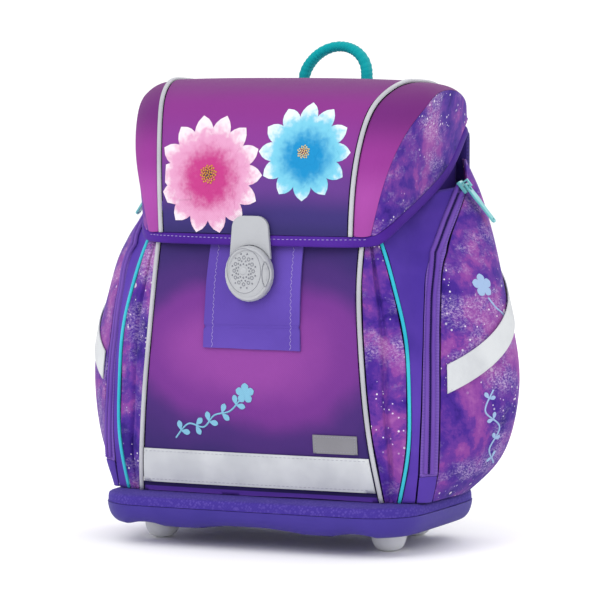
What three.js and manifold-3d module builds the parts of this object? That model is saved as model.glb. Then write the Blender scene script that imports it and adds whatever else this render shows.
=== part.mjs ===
// School ransel: a rigid backpack for young pupils, standing on its moulded base.
// Millimetres, +Z up, the front towards -Y and the wearer's back towards +Y.
// The fabric walls are thin sheets over a stiff hollow body; side pockets and front pocket are hollow.

import * as THREE from 'three';
import { mergeVertices } from 'three/addons/utils/BufferGeometryUtils.js';
import Module from 'manifold-3d';

const wasm = await Module();
wasm.setup();

// Driving sizes of the whole bag
const bodyHeight = 380;
const bodyHalf = 130;
const bodyDeep = 88;
const gap = 0.35;
const fabricWall = 2.4;

// Driving sizes of the front pocket and what is sewn on it
const frontCrown = 2.6;
const gussetFold = 3.5;
const pipingRadius = 1.9;
const cordPipingRadius = 1.5;
const stripWall = 0.9;
const frontStripBottom = 50;
const frontStripTop = 78;
const labelWidth = 38;
const labelHeight = 15;
const labelInset = 9;
const labelLift = 3;
const tabWall = 1.8;
const tabTopWidth = 82;
const tabBottomWidth = 86;
const tabLength = 87;
const tabTuck = 5.36;

// Driving sizes of the lock
const claspRadius = 22.6;
const claspSqueeze = 0.91;
const claspDrop = 31.06;
const claspDepth = 9.5;
const claspPlateWidth = 36;
const claspPlateTopWidth = 32;
const plateOverFlap = 15.14;
const claspPlateDepth = 3.4;
const plateCorner = 10;
const bossInset = 6;

// Driving sizes of the flap
const flapWall = 2.6;
const flapShoulder = 2.5;
const bindingHeight = 8.6;
const bindingThick = 4;

// Driving sizes of the side pockets
const pocketBulge = 56;
const tapeWidth = 15;
const tapeWall = 1.1;
const endPatchTop = 64;
const pocketStripWidth = 23;
const pocketStripStart = 137;
const pocketStripClimb = 104;

// Driving sizes of zip sliders and pulls
const sliderLength = 11;
const sliderWidth = 8.4;
const sliderThick = 3;
const pullLength = 36;
const pullWidth = 7;
const pullPlay = 0.45;
const pullOval = 7;
const pullHoleRadius = 1.2;
const bridgeWidth = 2.2;
const bridgeWall = 1.4;
const bridgeHollow = 4.4;
const crossBar = 1.8;
const ringBar = 1.5;

// Driving sizes of the base
const trayHalfWidth = 140;
const trayFront = 97;
const trayBack = 90;
const trayCorner = 46;
const trayBottom = 15;
const trayTop = 33;
const trayWall = 3;
const bandTop = 42;
const bandWall = 2.6;
const footRadius = 15;
const footContact = 6;
const footSpread = 102;
const footFront = 35;
const footBack = 60;
const footBackSpread = 85;

// Driving sizes of the back and the straps
const backPanelHalf = 121;
const backPanelThick = 8;
const backPanelCorner = 14;
const handleSpan = 29;
const handleRise = 27.5;
const handleWidth = 12;
const handleThick = 8;
const adjusterWidth = 34;
const adjusterLength = 26;
const adjusterThick = 4;
const strapWidth = 56;
const strapThick = 9;
const webWidth = 25;
const webThick = 1.6;
const handleSink = 2;
const handleLean = 0.4;
const strapDrop = 76;
const strapBottom = 116;
const webBottom = 58;
const strapSlack = 27;

// Seams of the right half, as shares of the body's height, half width and depth, from the bottom up
const greySeam = [
  { up: 0.114, wide: 0.823, deep: -0.716 },
  { up: 0.184, wide: 0.800, deep: -0.795 },
  { up: 0.242, wide: 0.778, deep: -0.836 },
  { up: 0.337, wide: 0.751, deep: -0.867 },
  { up: 0.492, wide: 0.712, deep: -0.845 },
  { up: 0.574, wide: 0.698, deep: -0.811 },
  { up: 0.653, wide: 0.695, deep: -0.730 },
  { up: 0.689, wide: 0.695, deep: -0.690 },
];
const cordSeam = [
  { up: 0.114, wide: 0.931, deep: -0.668 },
  { up: 0.224, wide: 0.995, deep: -0.678 },
  { up: 0.368, wide: 0.992, deep: -0.670 },
  { up: 0.468, wide: 0.969, deep: -0.665 },
  { up: 0.553, wide: 0.900, deep: -0.659 },
  { up: 0.618, wide: 0.846, deep: -0.648 },
  { up: 0.658, wide: 0.792, deep: -0.625 },
  { up: 0.689, wide: 0.754, deep: -0.608 },
];
const zipSeam = [
  { up: 0.114, wide: 1.081, deep: -0.566 },
  { up: 0.176, wide: 1.105, deep: -0.595 },
  { up: 0.316, wide: 1.103, deep: -0.559 },
  { up: 0.442, wide: 1.085, deep: -0.503 },
  { up: 0.547, wide: 1.065, deep: -0.411 },
  { up: 0.634, wide: 1.051, deep: -0.288 },
  { up: 0.700, wide: 1.046, deep: 0.045 },
  { up: 0.774, wide: 1.031, deep: 0.470 },
  { up: 0.800, wide: 1.000, deep: 0.568 },
  { up: 0.824, wide: 0.969, deep: 0.682 },
];
const zipTopShare = 0.774;

// Side pocket by height: its back edge, and how far it swells as a share of the pocket's bulge
const pocketRows = [
  { up: 0.114, wide: 0.954, deep: 0.950, swell: 0.25 },
  { up: 0.139, wide: 0.958, deep: 0.950, swell: 0.51 },
  { up: 0.176, wide: 0.962, deep: 0.950, swell: 0.72 },
  { up: 0.245, wide: 0.965, deep: 0.950, swell: 0.90 },
  { up: 0.305, wide: 0.969, deep: 0.950, swell: 0.97 },
  { up: 0.366, wide: 0.969, deep: 0.950, swell: 1.00 },
  { up: 0.442, wide: 0.965, deep: 0.950, swell: 0.95 },
  { up: 0.545, wide: 0.950, deep: 0.950, swell: 0.81 },
  { up: 0.629, wide: 0.938, deep: 0.950, swell: 0.66 },
  { up: 0.695, wide: 0.930, deep: 0.950, swell: 0.49 },
  { up: 0.763, wide: 0.922, deep: 0.950, swell: 0.25 },
  { up: 0.800, wide: 0.915, deep: 0.950, swell: 0.14 },
  { up: 0.824, wide: 0.908, deep: 0.950, swell: 0.05 },
];

// Flap from its front edge over the crown to its back edge:
// middle line, grey piping, shoulder seam and wing edge
const flapMiddle = [
  { up: 0.672, wide: 0, deep: -0.878 },
  { up: 0.726, wide: 0, deep: -0.880 },
  { up: 0.797, wide: 0, deep: -0.862 },
  { up: 0.868, wide: 0, deep: -0.807 },
  { up: 0.929, wide: 0, deep: -0.693 },
  { up: 0.972, wide: 0, deep: -0.500 },
  { up: 0.998, wide: 0, deep: -0.170 },
  { up: 1.000, wide: 0, deep: 0.136 },
  { up: 0.996, wide: 0, deep: 0.500 },
  { up: 0.979, wide: 0, deep: 0.773 },
  { up: 0.950, wide: 0, deep: 0.955 },
  { up: 0.911, wide: 0, deep: 1.040 },
];
const flapPipe = [
  { up: 0.672, wide: 0.648, deep: -0.830 },
  { up: 0.726, wide: 0.654, deep: -0.830 },
  { up: 0.797, wide: 0.666, deep: -0.809 },
  { up: 0.863, wide: 0.685, deep: -0.750 },
  { up: 0.924, wide: 0.712, deep: -0.645 },
  { up: 0.963, wide: 0.748, deep: -0.484 },
  { up: 0.993, wide: 0.800, deep: -0.170 },
  { up: 0.995, wide: 0.819, deep: 0.136 },
  { up: 0.989, wide: 0.823, deep: 0.500 },
  { up: 0.974, wide: 0.815, deep: 0.761 },
  { up: 0.946, wide: 0.800, deep: 0.943 },
  { up: 0.911, wide: 0.785, deep: 1.034 },
];
const flapShoulderSeam = [
  { up: 0.674, wide: 0.762, deep: -0.748 },
  { up: 0.726, wide: 0.796, deep: -0.739 },
  { up: 0.782, wide: 0.838, deep: -0.716 },
  { up: 0.839, wide: 0.885, deep: -0.648 },
  { up: 0.895, wide: 0.935, deep: -0.489 },
  { up: 0.939, wide: 0.985, deep: -0.273 },
  { up: 0.967, wide: 1.000, deep: -0.068 },
  { up: 0.976, wide: 0.996, deep: 0.205 },
  { up: 0.972, wide: 0.985, deep: 0.511 },
  { up: 0.958, wide: 0.965, deep: 0.750 },
  { up: 0.938, wide: 0.935, deep: 0.932 },
  { up: 0.911, wide: 0.904, deep: 1.018 },
];
const flapWingEdge = [
  { up: 0.675, wide: 0.788, deep: -0.718 },
  { up: 0.689, wide: 0.831, deep: -0.653 },
  { up: 0.701, wide: 0.858, deep: -0.568 },
  { up: 0.716, wide: 0.877, deep: -0.443 },
  { up: 0.733, wide: 0.896, deep: -0.273 },
  { up: 0.755, wide: 0.912, deep: -0.057 },
  { up: 0.774, wide: 0.923, deep: 0.136 },
  { up: 0.799, wide: 0.935, deep: 0.364 },
  { up: 0.834, wide: 0.942, deep: 0.591 },
  { up: 0.879, wide: 0.942, deep: 0.795 },
  { up: 0.901, wide: 0.937, deep: 0.920 },
  { up: 0.911, wide: 0.923, deep: 1.005 },
];

// Body sections by height: half width at the back and at the front,
// and how far the ends draw in towards the base
const bodyRows = [
  { up: 0.050, wide: 0.840, front: 0.820, draw: 0.085 },
  { up: 0.075, wide: 0.870, front: 0.850, draw: 0.000 },
  { up: 0.130, wide: 0.890, front: 0.865, draw: 0.000 },
  { up: 0.300, wide: 0.905, front: 0.875, draw: 0.000 },
  { up: 0.470, wide: 0.900, front: 0.850, draw: 0.000 },
  { up: 0.600, wide: 0.895, front: 0.780, draw: 0.000 },
  { up: 0.690, wide: 0.892, front: 0.700, draw: 0.000 },
  { up: 0.890, wide: 0.890, front: 0.700, draw: 0.000 },
];
const bodyFrontShare = 0.560;
const bodyBackShare = 0.950;
const bodyFrontCorner = 40;
const bodyBackCorner = 14;

const point = (x, y, z) => new THREE.Vector3(x, y, z);

// Smooth reading of one column of a table at a value of its key column
function read(table, key, at, column) {
  const last = table.length - 1;
  let row = 0;
  while (row < last - 1 && at > table[row + 1][key]) row += 1;
  const slope = (index) => {
    const before = table[Math.max(index - 1, 0)];
    const after = table[Math.min(index + 1, last)];
    return (after[column] - before[column]) / (after[key] - before[key]);
  };
  const span = table[row + 1][key] - table[row][key];
  const part = (at - table[row][key]) / span;
  const square = part * part;
  const cube = square * part;
  return (2 * cube - 3 * square + 1) * table[row][column]
    + (cube - 2 * square + part) * span * slope(row)
    + (3 * square - 2 * cube) * table[row + 1][column]
    + (cube - square) * span * slope(row + 1);
}

// A seam's point at a real height
function seamPoint(seam, height) {
  const up = height / bodyHeight;
  return point(read(seam, 'up', up, 'wide') * bodyHalf, read(seam, 'up', up, 'deep') * bodyDeep, height);
}

// A table whose rows also hold their way along it, from 0 at the front edge to 1 at the back edge
function numbered(table) {
  return table.map((row, index) => ({ ...row, way: index / (table.length - 1) }));
}
const flapLines = {
  middle: numbered(flapMiddle),
  pipe: numbered(flapPipe),
  shoulder: numbered(flapShoulderSeam),
  wing: numbered(flapWingEdge),
};
function linePoint(line, way) {
  return point(
    read(line, 'way', way, 'wide') * bodyHalf,
    read(line, 'way', way, 'deep') * bodyDeep,
    read(line, 'way', way, 'up') * bodyHeight,
  );
}

function mix(a, b, part) {
  return a.clone().lerp(b, part);
}

// The point on the way from a to b, with a length left free at each end
function trimmed(a, b, part, freeAtA, freeAtB) {
  const length = a.distanceTo(b);
  return mix(a, b, (freeAtA + part * (length - freeAtA - freeAtB)) / length);
}

// A closed body from points and triangles, with its faces turned outward
function bodyFrom(points, triangles) {
  const geometry = new THREE.BufferGeometry();
  const numbers = points.flatMap((p) => [p.x, p.y, p.z]);
  geometry.setAttribute('position', new THREE.Float32BufferAttribute(numbers, 3));
  geometry.setIndex(triangles.flat());
  return outward(mergeVertices(geometry, 1e-4));
}

function outward(geometry) {
  const position = geometry.getAttribute('position');
  const index = geometry.getIndex();
  const corner = (n) => new THREE.Vector3().fromBufferAttribute(position, index.getX(n));
  let volume = 0;
  for (let n = 0; n < index.count; n += 3) {
    volume += corner(n).dot(corner(n + 1).cross(corner(n + 2)));
  }
  if (volume > 0) return geometry;
  const turned = [];
  for (let n = 0; n < index.count; n += 3) {
    turned.push(index.getX(n), index.getX(n + 2), index.getX(n + 1));
  }
  geometry.setIndex(turned);
  return geometry;
}

// The same geometry on the other side of the bag's middle plane
function mirrored(geometry) {
  const copy = geometry.clone();
  copy.applyMatrix4(new THREE.Matrix4().makeScale(-1, 1, 1));
  return outward(copy);
}

// A sheet with a wall, from a function that gives its outer face; across and up are counts of faces.
// The wall lies square to the face, or in the direction that a second function gives.
function sheet(outerAt, across, up, wall, inwardAt = null) {
  const step = 1e-3;
  const outer = [];
  const inner = [];
  for (let j = 0; j <= up; j += 1) {
    for (let i = 0; i <= across; i += 1) {
      const u = i / across;
      const v = j / up;
      const low = Math.max(u - step, 0);
      const high = Math.min(u + step, 1);
      const under = Math.max(v - step, 0);
      const over = Math.min(v + step, 1);
      const alongAcross = outerAt(high, v).sub(outerAt(low, v));
      const alongUp = outerAt(u, over).sub(outerAt(u, under));
      const square = alongAcross.cross(alongUp).normalize().negate();
      const face = outerAt(u, v);
      const inward = inwardAt ? inwardAt(face, u, v) : square;
      outer.push(face);
      inner.push(face.clone().addScaledVector(inward, wall));
    }
  }
  const count = outer.length;
  const at = (i, j) => j * (across + 1) + i;
  const triangles = [];
  const quad = (a, b, c, d) => triangles.push([a, b, c], [a, c, d]);
  for (let j = 0; j < up; j += 1) {
    for (let i = 0; i < across; i += 1) {
      quad(at(i, j), at(i + 1, j), at(i + 1, j + 1), at(i, j + 1));
      quad(count + at(i, j), count + at(i, j + 1), count + at(i + 1, j + 1), count + at(i + 1, j));
    }
    quad(at(0, j), at(0, j + 1), count + at(0, j + 1), count + at(0, j));
    quad(at(across, j), count + at(across, j), count + at(across, j + 1), at(across, j + 1));
  }
  for (let i = 0; i < across; i += 1) {
    quad(at(i, 0), count + at(i, 0), count + at(i + 1, 0), at(i + 1, 0));
    quad(at(i, up), at(i + 1, up), count + at(i + 1, up), count + at(i, up));
  }
  return bodyFrom(outer.concat(inner), triangles);
}

// A body through closed rings of equal counts: capped at both ends, or joined into a loop
function rings(list, looped = false) {
  const sides = list[0].length;
  const points = list.flat();
  const triangles = [];
  const bands = looped ? list.length : list.length - 1;
  for (let j = 0; j < bands; j += 1) {
    const lower = j * sides;
    const upper = ((j + 1) % list.length) * sides;
    for (let i = 0; i < sides; i += 1) {
      const next = (i + 1) % sides;
      triangles.push([lower + i, lower + next, upper + next], [lower + i, upper + next, upper + i]);
    }
  }
  if (!looped) {
    for (const first of [0, list.length - 1]) {
      const centre = points.length;
      const sum = list[first].reduce((total, p) => total.add(p), point(0, 0, 0));
      points.push(sum.divideScalar(sides));
      for (let i = 0; i < sides; i += 1) {
        const a = first * sides + i;
        const b = first * sides + ((i + 1) % sides);
        triangles.push(first === 0 ? [centre, b, a] : [centre, a, b]);
      }
    }
  }
  return bodyFrom(points, triangles);
}

// Flat outline of a box with round corners;
// the front and the back have their own half width and corner radius
function roundedOutline(frontEnd, backEnd, steps, height) {
  const corners = [
    { x: backEnd.half, y: backEnd.reach, r: backEnd.corner, from: 0 },
    { x: -backEnd.half, y: backEnd.reach, r: backEnd.corner, from: 90 },
    { x: -frontEnd.half, y: -frontEnd.reach, r: frontEnd.corner, from: 180 },
    { x: frontEnd.half, y: -frontEnd.reach, r: frontEnd.corner, from: 270 },
  ];
  const outline = [];
  for (const corner of corners) {
    for (let n = 0; n <= steps; n += 1) {
      const angle = THREE.MathUtils.degToRad(corner.from + (90 * n) / steps);
      const centreX = corner.x - Math.sign(corner.x) * corner.r;
      const centreY = corner.y - Math.sign(corner.y) * corner.r;
      outline.push(point(centreX + corner.r * Math.cos(angle), centreY + corner.r * Math.sin(angle), height));
    }
  }
  return outline;
}

// A round bar along a smooth line
function roundBar(line, radius, steps) {
  const section = new THREE.Shape();
  section.absarc(0, 0, radius, 0, Math.PI * 2);
  const extrudePath = new THREE.CatmullRomCurve3(line);
  const settings = { steps, curveSegments: 3, bevelEnabled: false, extrudePath };
  return positionsOnly(new THREE.ExtrudeGeometry(section, settings));
}

// Positions alone, with shared corners welded and faces that have no area left out
function positionsOnly(geometry) {
  const bare = geometry.clone();
  bare.deleteAttribute('normal');
  bare.deleteAttribute('uv');
  const welded = mergeVertices(bare, 1e-3);
  const index = welded.getIndex();
  const kept = [];
  for (let n = 0; n < index.count; n += 3) {
    const [a, b, c] = [index.getX(n), index.getX(n + 1), index.getX(n + 2)];
    if (a !== b && b !== c && c !== a) kept.push(a, b, c);
  }
  welded.setIndex(kept);
  return outward(welded);
}

// Eight-sided flat section with eased corners,
// swept through stations that each have a side and a face direction
function sweep(stations, width, thick) {
  const ease = 0.3 * thick;
  const halfWidth = width / 2;
  const halfThick = thick / 2;
  const outline = [
    [halfWidth, halfThick - ease], [halfWidth - ease, halfThick],
    [ease - halfWidth, halfThick], [-halfWidth, halfThick - ease],
    [-halfWidth, ease - halfThick], [ease - halfWidth, -halfThick],
    [halfWidth - ease, -halfThick], [halfWidth, ease - halfThick],
  ];
  return rings(stations.map(({ at, side, face }) => outline.map(([w, t]) => (
    at.clone().addScaledVector(side, w).addScaledVector(face, t)
  ))));
}

// Conversions between a geometry and a solid that can be joined or cut
function toSolid(geometry) {
  const bare = outward(mergeVertices(geometry, 1e-4));
  const vertProperties = new Float32Array(bare.getAttribute('position').array);
  const triVerts = new Uint32Array(bare.getIndex().array);
  return new wasm.Manifold(new wasm.Mesh({ numProp: 3, vertProperties, triVerts }));
}

function fromSolid(solid) {
  const result = solid.getMesh();
  const geometry = new THREE.BufferGeometry();
  geometry.setAttribute('position', new THREE.BufferAttribute(new Float32Array(result.vertProperties), 3));
  geometry.setIndex(Array.from(result.triVerts));
  return geometry;
}

// The finished bag and the finishes of its materials
const ransel = new THREE.Group();
const finishes = {
  violet: { color: 0x4b2fa6, roughness: 0.8 },
  plum: { color: 0x6a1f7d, roughness: 0.8 },
  magenta: { color: 0x9a2a9c, roughness: 0.8 },
  galaxy: { color: 0x7b3fa8, roughness: 0.8 },
  reflective: { color: 0xbfc2c8, roughness: 0.5 },
  turquoise: { color: 0x3fc8d8, roughness: 0.6 },
  teal: { color: 0x00a5ab, roughness: 0.8 },
  plastic: { color: 0xc5c7cc, roughness: 0.4 },
  tray: { color: 0x3a2c8c, roughness: 0.5 },
  band: { color: 0x5142b4, roughness: 0.8 },
  padding: { color: 0x33206e, roughness: 0.9 },
};

function add(name, geometry, finish) {
  const material = new THREE.MeshStandardMaterial({ metalness: 0, ...finishes[finish] });
  const mesh = new THREE.Mesh(geometry, material);
  mesh.name = name;
  ransel.add(mesh);
}

function addPair(name, geometry, finish) {
  add(`${name}_right`, geometry, finish);
  add(`${name}_left`, mirrored(geometry), finish);
}

// Body: a stiff box, open at the top, standing in the tray
const bodyBottom = trayBottom + trayWall + gap;
const bodyTop = bodyRows[bodyRows.length - 1].up * bodyHeight;
const bodyFront = bodyFrontShare * bodyDeep;
const bodyBack = bodyBackShare * bodyDeep;
const outlineSteps = 5;
function bodyOutline(height, inset) {
  const up = height / bodyHeight;
  const drawn = Math.max(read(bodyRows, 'up', up, 'draw'), 0) * bodyDeep + inset;
  const frontEnd = {
    half: read(bodyRows, 'up', up, 'front') * bodyHalf - inset,
    reach: bodyFront - drawn,
    corner: bodyFrontCorner - inset,
  };
  const backEnd = {
    half: read(bodyRows, 'up', up, 'wide') * bodyHalf - inset,
    reach: bodyBack - drawn,
    corner: bodyBackCorner - inset,
  };
  return roundedOutline(frontEnd, backEnd, outlineSteps, height);
}
const bodyLevels = bodyRows.map((row) => Math.max(row.up * bodyHeight, bodyBottom));
const bodyInside = [...bodyLevels].reverse().map((height) => Math.max(height, bodyBottom + fabricWall));
add('body_shell', rings([
  ...bodyLevels.map((height) => bodyOutline(height, 0)),
  ...bodyInside.map((height) => bodyOutline(height, fabricWall)),
]), 'violet');

// Front pocket: a crowned panel, with a folded gusset at each side
const pipeFree = pipingRadius + 3 * gap;
const cordFree = cordPipingRadius + 2 * gap;
const pocketBottom = bandTop + gap;
const frontTop = greySeam[greySeam.length - 1].up * bodyHeight;
function frontPoint(x, height, lift = 0) {
  const edge = seamPoint(greySeam, height);
  const share = x / edge.x;
  return point(x, edge.y - frontCrown * (1 - share * share) - lift, height);
}
const frontHeight = (v) => pocketBottom + v * (frontTop - pocketBottom);
add('front_panel', sheet((u, v) => {
  const height = frontHeight(v);
  const half = seamPoint(greySeam, height).x - pipeFree;
  return frontPoint((2 * u - 1) * half, height);
}, 10, 10, fabricWall), 'plum');

addPair('gusset', sheet((u, v) => {
  const height = frontHeight(v);
  const face = trimmed(seamPoint(greySeam, height), seamPoint(cordSeam, height), u, pipeFree, cordFree);
  const fold = gussetFold * Math.sin(Math.PI * u) ** 2;
  return face.add(point(-0.6 * fold, 0.8 * fold, 0));
}, 4, 10, fabricWall), 'galaxy');

const seamLine = (seam, bottom, top, count) => Array.from({ length: count }, (_, n) => (
  seamPoint(seam, bottom + ((top - bottom) * n) / (count - 1))
));
const frontSeamLine = seamLine(greySeam, pocketBottom + gap, frontTop, 12);
const sideSeamLine = seamLine(cordSeam, pocketBottom + gap, frontTop, 12);
addPair('front_piping', roundBar(frontSeamLine, pipingRadius, 12), 'reflective');
addPair('side_piping', roundBar(sideSeamLine, cordPipingRadius, 12), 'turquoise');

// Heights that follow the middle of the flap's front edge
const flapEdgeHeight = flapMiddle[0].up * bodyHeight;
const tabTop = flapEdgeHeight - tabTuck;
const tabBottom = tabTop - tabLength;
const claspHeight = flapEdgeHeight - claspDrop;

// Sewn on the front panel: reflective strip, bare label and closure tab
function laidOnFront(left, right, bottom, top, wall, across, up) {
  return sheet((u, v) => {
    const height = bottom + v * (top - bottom);
    const from = left(height);
    return frontPoint(from + u * (right(height) - from), height, gap + wall);
  }, across, up, wall);
}
const stripHalf = (height) => seamPoint(greySeam, height).x - pipeFree;
add('front_reflective_strip', laidOnFront(
  (height) => -stripHalf(height), stripHalf, frontStripBottom, frontStripTop, stripWall, 10, 2,
), 'reflective');

const labelRight = stripHalf(frontStripTop) - labelInset;
const labelBottom = frontStripTop + labelLift;
const labelTop = labelBottom + labelHeight;
add('front_label', laidOnFront(
  () => labelRight - labelWidth, () => labelRight, labelBottom, labelTop, stripWall, 3, 1,
), 'plastic');

const tabHalf = (height) => {
  const part = (height - tabBottom) / (tabTop - tabBottom);
  return (tabBottomWidth + part * (tabTopWidth - tabBottomWidth)) / 2;
};
add('closure_tab', laidOnFront(
  (height) => -tabHalf(height), tabHalf, tabBottom, tabTop, tabWall, 8, 8,
), 'violet');

// Flap: a crowned middle panel between pipings, a band round each shoulder and a wing down each side.
// Its walls all point to one place inside the hood, so that they meet cleanly at the seams.
const hoodCentre = point(0, 0.2 * bodyDeep, 0.78 * bodyHeight);
const hoodInward = (face) => hoodCentre.clone().sub(face).normalize();
add('flap_panel', sheet((u, v) => {
  const edge = linePoint(flapLines.pipe, v);
  const middle = linePoint(flapLines.middle, v);
  const share = 2 * u - 1;
  const face = mix(middle, edge, share * share);
  face.x = share * (edge.x - pipeFree);
  return face;
}, 8, 18, flapWall, hoodInward), 'magenta');

addPair('flap_band', sheet((u, v) => {
  const from = linePoint(flapLines.pipe, v);
  const to = linePoint(flapLines.shoulder, v);
  const face = trimmed(from, to, u, pipeFree, gap / 2);
  const away = mix(from, to, 0.5).sub(hoodCentre).normalize();
  return face.addScaledVector(away, flapShoulder * 4 * u * (1 - u));
}, 3, 18, flapWall, hoodInward), 'magenta');

addPair('flap_wing', sheet((u, v) => (
  trimmed(linePoint(flapLines.shoulder, v), linePoint(flapLines.wing, v), u, gap / 2, 0)
), 3, 18, flapWall, (face, u) => {
  const inward = hoodInward(face);
  inward.z *= 1 - u;
  return inward.normalize();
}), 'galaxy');

const flapPipeLine = Array.from({ length: 20 }, (_, n) => {
  const at = linePoint(flapLines.pipe, n / 19);
  return at.addScaledVector(at.clone().sub(hoodCentre).normalize(), -flapWall / 2 + 1);
});
addPair('flap_piping', roundBar(flapPipeLine, pipingRadius, 22), 'reflective');

// Binding: a folded strip under the whole edge of the flap, round the front from one back corner to the other
const bindingEnd = 0.88;
function bindingStations() {
  const wing = Array.from({ length: 11 }, (_, n) => linePoint(flapLines.wing, bindingEnd * (1 - n / 10)));
  const edge = linePoint(flapLines.pipe, 0);
  const middle = linePoint(flapLines.middle, 0);
  const frontLine = [linePoint(flapLines.shoulder, 0), edge];
  for (const share of [0.75, 0.5, 0.25]) {
    const at = mix(middle, edge, share * share);
    at.x = share * edge.x;
    frontLine.push(at);
  }
  const right = [...wing, ...frontLine];
  const left = right.map((at) => point(-at.x, at.y, at.z)).reverse();
  const line = [...right, middle, ...left];
  return line.map((at, n) => {
    const along = line[Math.min(n + 1, line.length - 1)].clone().sub(line[Math.max(n - 1, 0)]).normalize();
    const face = point(along.y, -along.x, 0).normalize();
    const outwardFace = face.dot(point(at.x, at.y - hoodCentre.y, 0)) < 0 ? face.negate() : face;
    const side = outwardFace.clone().cross(along).normalize();
    if (side.z > 0) side.negate();
    const down = bindingHeight / 2 + gap;
    const seat = at.clone().addScaledVector(side, down).addScaledVector(outwardFace, -flapWall / 2);
    return { at: seat, side, face: outwardFace };
  });
}
add('flap_binding', sweep(bindingStations(), bindingHeight, bindingThick), 'violet');

// Side panel: plain fabric from the turquoise piping round to the zip, tucked under the flap at its top
const zipTop = zipTopShare * bodyHeight;
const tapeHalf = tapeWidth / 2;
const panelTuckUp = 3;
const panelTuckIn = 15;
const tapeFree = tapeHalf + 4.4 * gap;
function sidePanelPoint(u, v) {
  const front = seamPoint(cordSeam, frontHeight(v));
  const rear = seamPoint(zipSeam, pocketBottom + v * (zipTop - pocketBottom));
  const face = trimmed(front, rear, u, cordFree, tapeFree);
  const tuckIn = panelTuckIn * v ** 5 * Math.sin(Math.PI * u ** 1.8);
  const tuckUp = panelTuckUp * v ** 5 * Math.sin(Math.PI * u);
  return face.add(point(-tuckIn, 0, tuckUp));
}
addPair('side_panel', sheet(sidePanelPoint, 5, 12, fabricWall), 'violet');

// Side pocket: a swelling skin from the zip round to the back edge, open towards the body
const pocketTop = pocketRows[pocketRows.length - 1].up * bodyHeight;
function pocketPoint(u, v) {
  const height = pocketBottom + v * (pocketTop - pocketBottom);
  const up = height / bodyHeight;
  const front = seamPoint(zipSeam, height);
  const rear = seamPoint(pocketRows, height);
  const chord = rear.clone().sub(front);
  const away = point(chord.y, -chord.x, 0).normalize();
  const swell = read(pocketRows, 'up', up, 'swell') * pocketBulge;
  const shape = Math.sin(Math.PI * u ** 1.1) ** 0.75;
  return mix(front, rear, u).addScaledVector(away, swell * shape);
}
// Share of the way round at which the skin has left the zip tape free
const pocketStart = (v) => {
  let low = 0;
  let high = 0.4;
  for (let turn = 0; turn < 20; turn += 1) {
    const middle = (low + high) / 2;
    if (pocketPoint(middle, v).distanceTo(pocketPoint(0, v)) < tapeFree) low = middle;
    else high = middle;
  }
  return high;
};
addPair('side_pocket', sheet((u, v) => {
  const start = pocketStart(v);
  return pocketPoint(start + u * (0.999 - start), v);
}, 10, 12, fabricWall), 'galaxy');

// Zip tape: two leaves that meet at the zip's line, up to the top of the zip
const tapeBottom = endPatchTop + gap;
function tapePoint(u, v, bottom, top) {
  const height = bottom + v * (top - bottom);
  const centre = seamPoint(zipSeam, height);
  const panelShare = (height - pocketBottom) / (zipTop - pocketBottom);
  const pocketShare = (height - pocketBottom) / (pocketTop - pocketBottom);
  const toPanel = sidePanelPoint(1, Math.min(panelShare, 1)).sub(centre).normalize();
  const toPocket = pocketPoint(pocketStart(pocketShare), pocketShare).sub(centre).normalize();
  return u < 0.5
    ? centre.clone().addScaledVector(toPanel, (1 - 2 * u) * tapeHalf)
    : centre.clone().addScaledVector(toPocket, (2 * u - 1) * tapeHalf);
}
addPair('zip_tape', sheet((u, v) => tapePoint(u, v, tapeBottom, zipTop), 2, 14, tapeWall), 'violet');
addPair('zip_end_patch', sheet(
  (u, v) => tapePoint(u, v, pocketBottom, endPatchTop), 2, 2, tapeWall,
), 'violet');

// Reflective strip over the pocket, climbing from the zip to the back edge
function pocketLifted(u, v, lift) {
  const step = 1e-3;
  const across = pocketPoint(u + step, v).sub(pocketPoint(u - step, v));
  const up = pocketPoint(u, v + step).sub(pocketPoint(u, v - step));
  return pocketPoint(u, v).addScaledVector(across.cross(up).normalize(), lift);
}
addPair('pocket_strip', sheet((u, v) => {
  const part = 0.055 + u * 0.925;
  const height = pocketStripStart + pocketStripClimb * part ** 1.1 + (v - 0.5) * pocketStripWidth;
  return pocketLifted(part, (height - pocketBottom) / (pocketTop - pocketBottom), gap + stripWall);
}, 18, 2, stripWall), 'reflective');

// Zip slider and pull: the pull's cross bar lies under the slider's bridge and turns there.
// Local axes: X along the cross bar, Y up the pull, Z out of the bag.
const pullReach = point(0.60, 0.10, -0.79).normalize();
const pullOut = point(0.79, 0, 0.60);
const pullAxis = pullReach.clone().cross(pullOut).normalize();
const pullFace = pullAxis.clone().cross(pullReach).normalize();
const sliderSeat = seamPoint(zipSeam, zipTop - sliderLength * 0.4).addScaledVector(pullFace, 4 * gap);
const sliderPlace = new THREE.Matrix4()
  .makeBasis(pullAxis.clone().negate(), pullReach.clone().negate(), pullFace)
  .setPosition(sliderSeat);
const hingeHeight = sliderThick + bridgeHollow / 2;

function box(width, length, height, x, y, z) {
  return positionsOnly(new THREE.BoxGeometry(width, length, height)).translate(x, y, z);
}
const bridgeOuter = bridgeHollow + 2 * bridgeWall;
const bridgeRise = bridgeHollow + bridgeWall;
const bridgeSunk = 0.3 * sliderThick;
const bridgeMiddle = sliderThick + (bridgeRise - bridgeSunk) / 2;
const bridge = toSolid(box(bridgeWidth, bridgeOuter, bridgeRise + bridgeSunk, 0, 0, bridgeMiddle));
const bridgeGap = toSolid(box(2 * bridgeWidth, bridgeHollow, bridgeHollow, 0, 0, hingeHeight));
const sliderShape = new THREE.Shape();
sliderShape.moveTo(-sliderWidth / 2, sliderLength / 2);
sliderShape.lineTo(-0.35 * sliderWidth, -sliderLength / 2);
sliderShape.lineTo(0.35 * sliderWidth, -sliderLength / 2);
sliderShape.lineTo(sliderWidth / 2, sliderLength / 2);
sliderShape.closePath();
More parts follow.
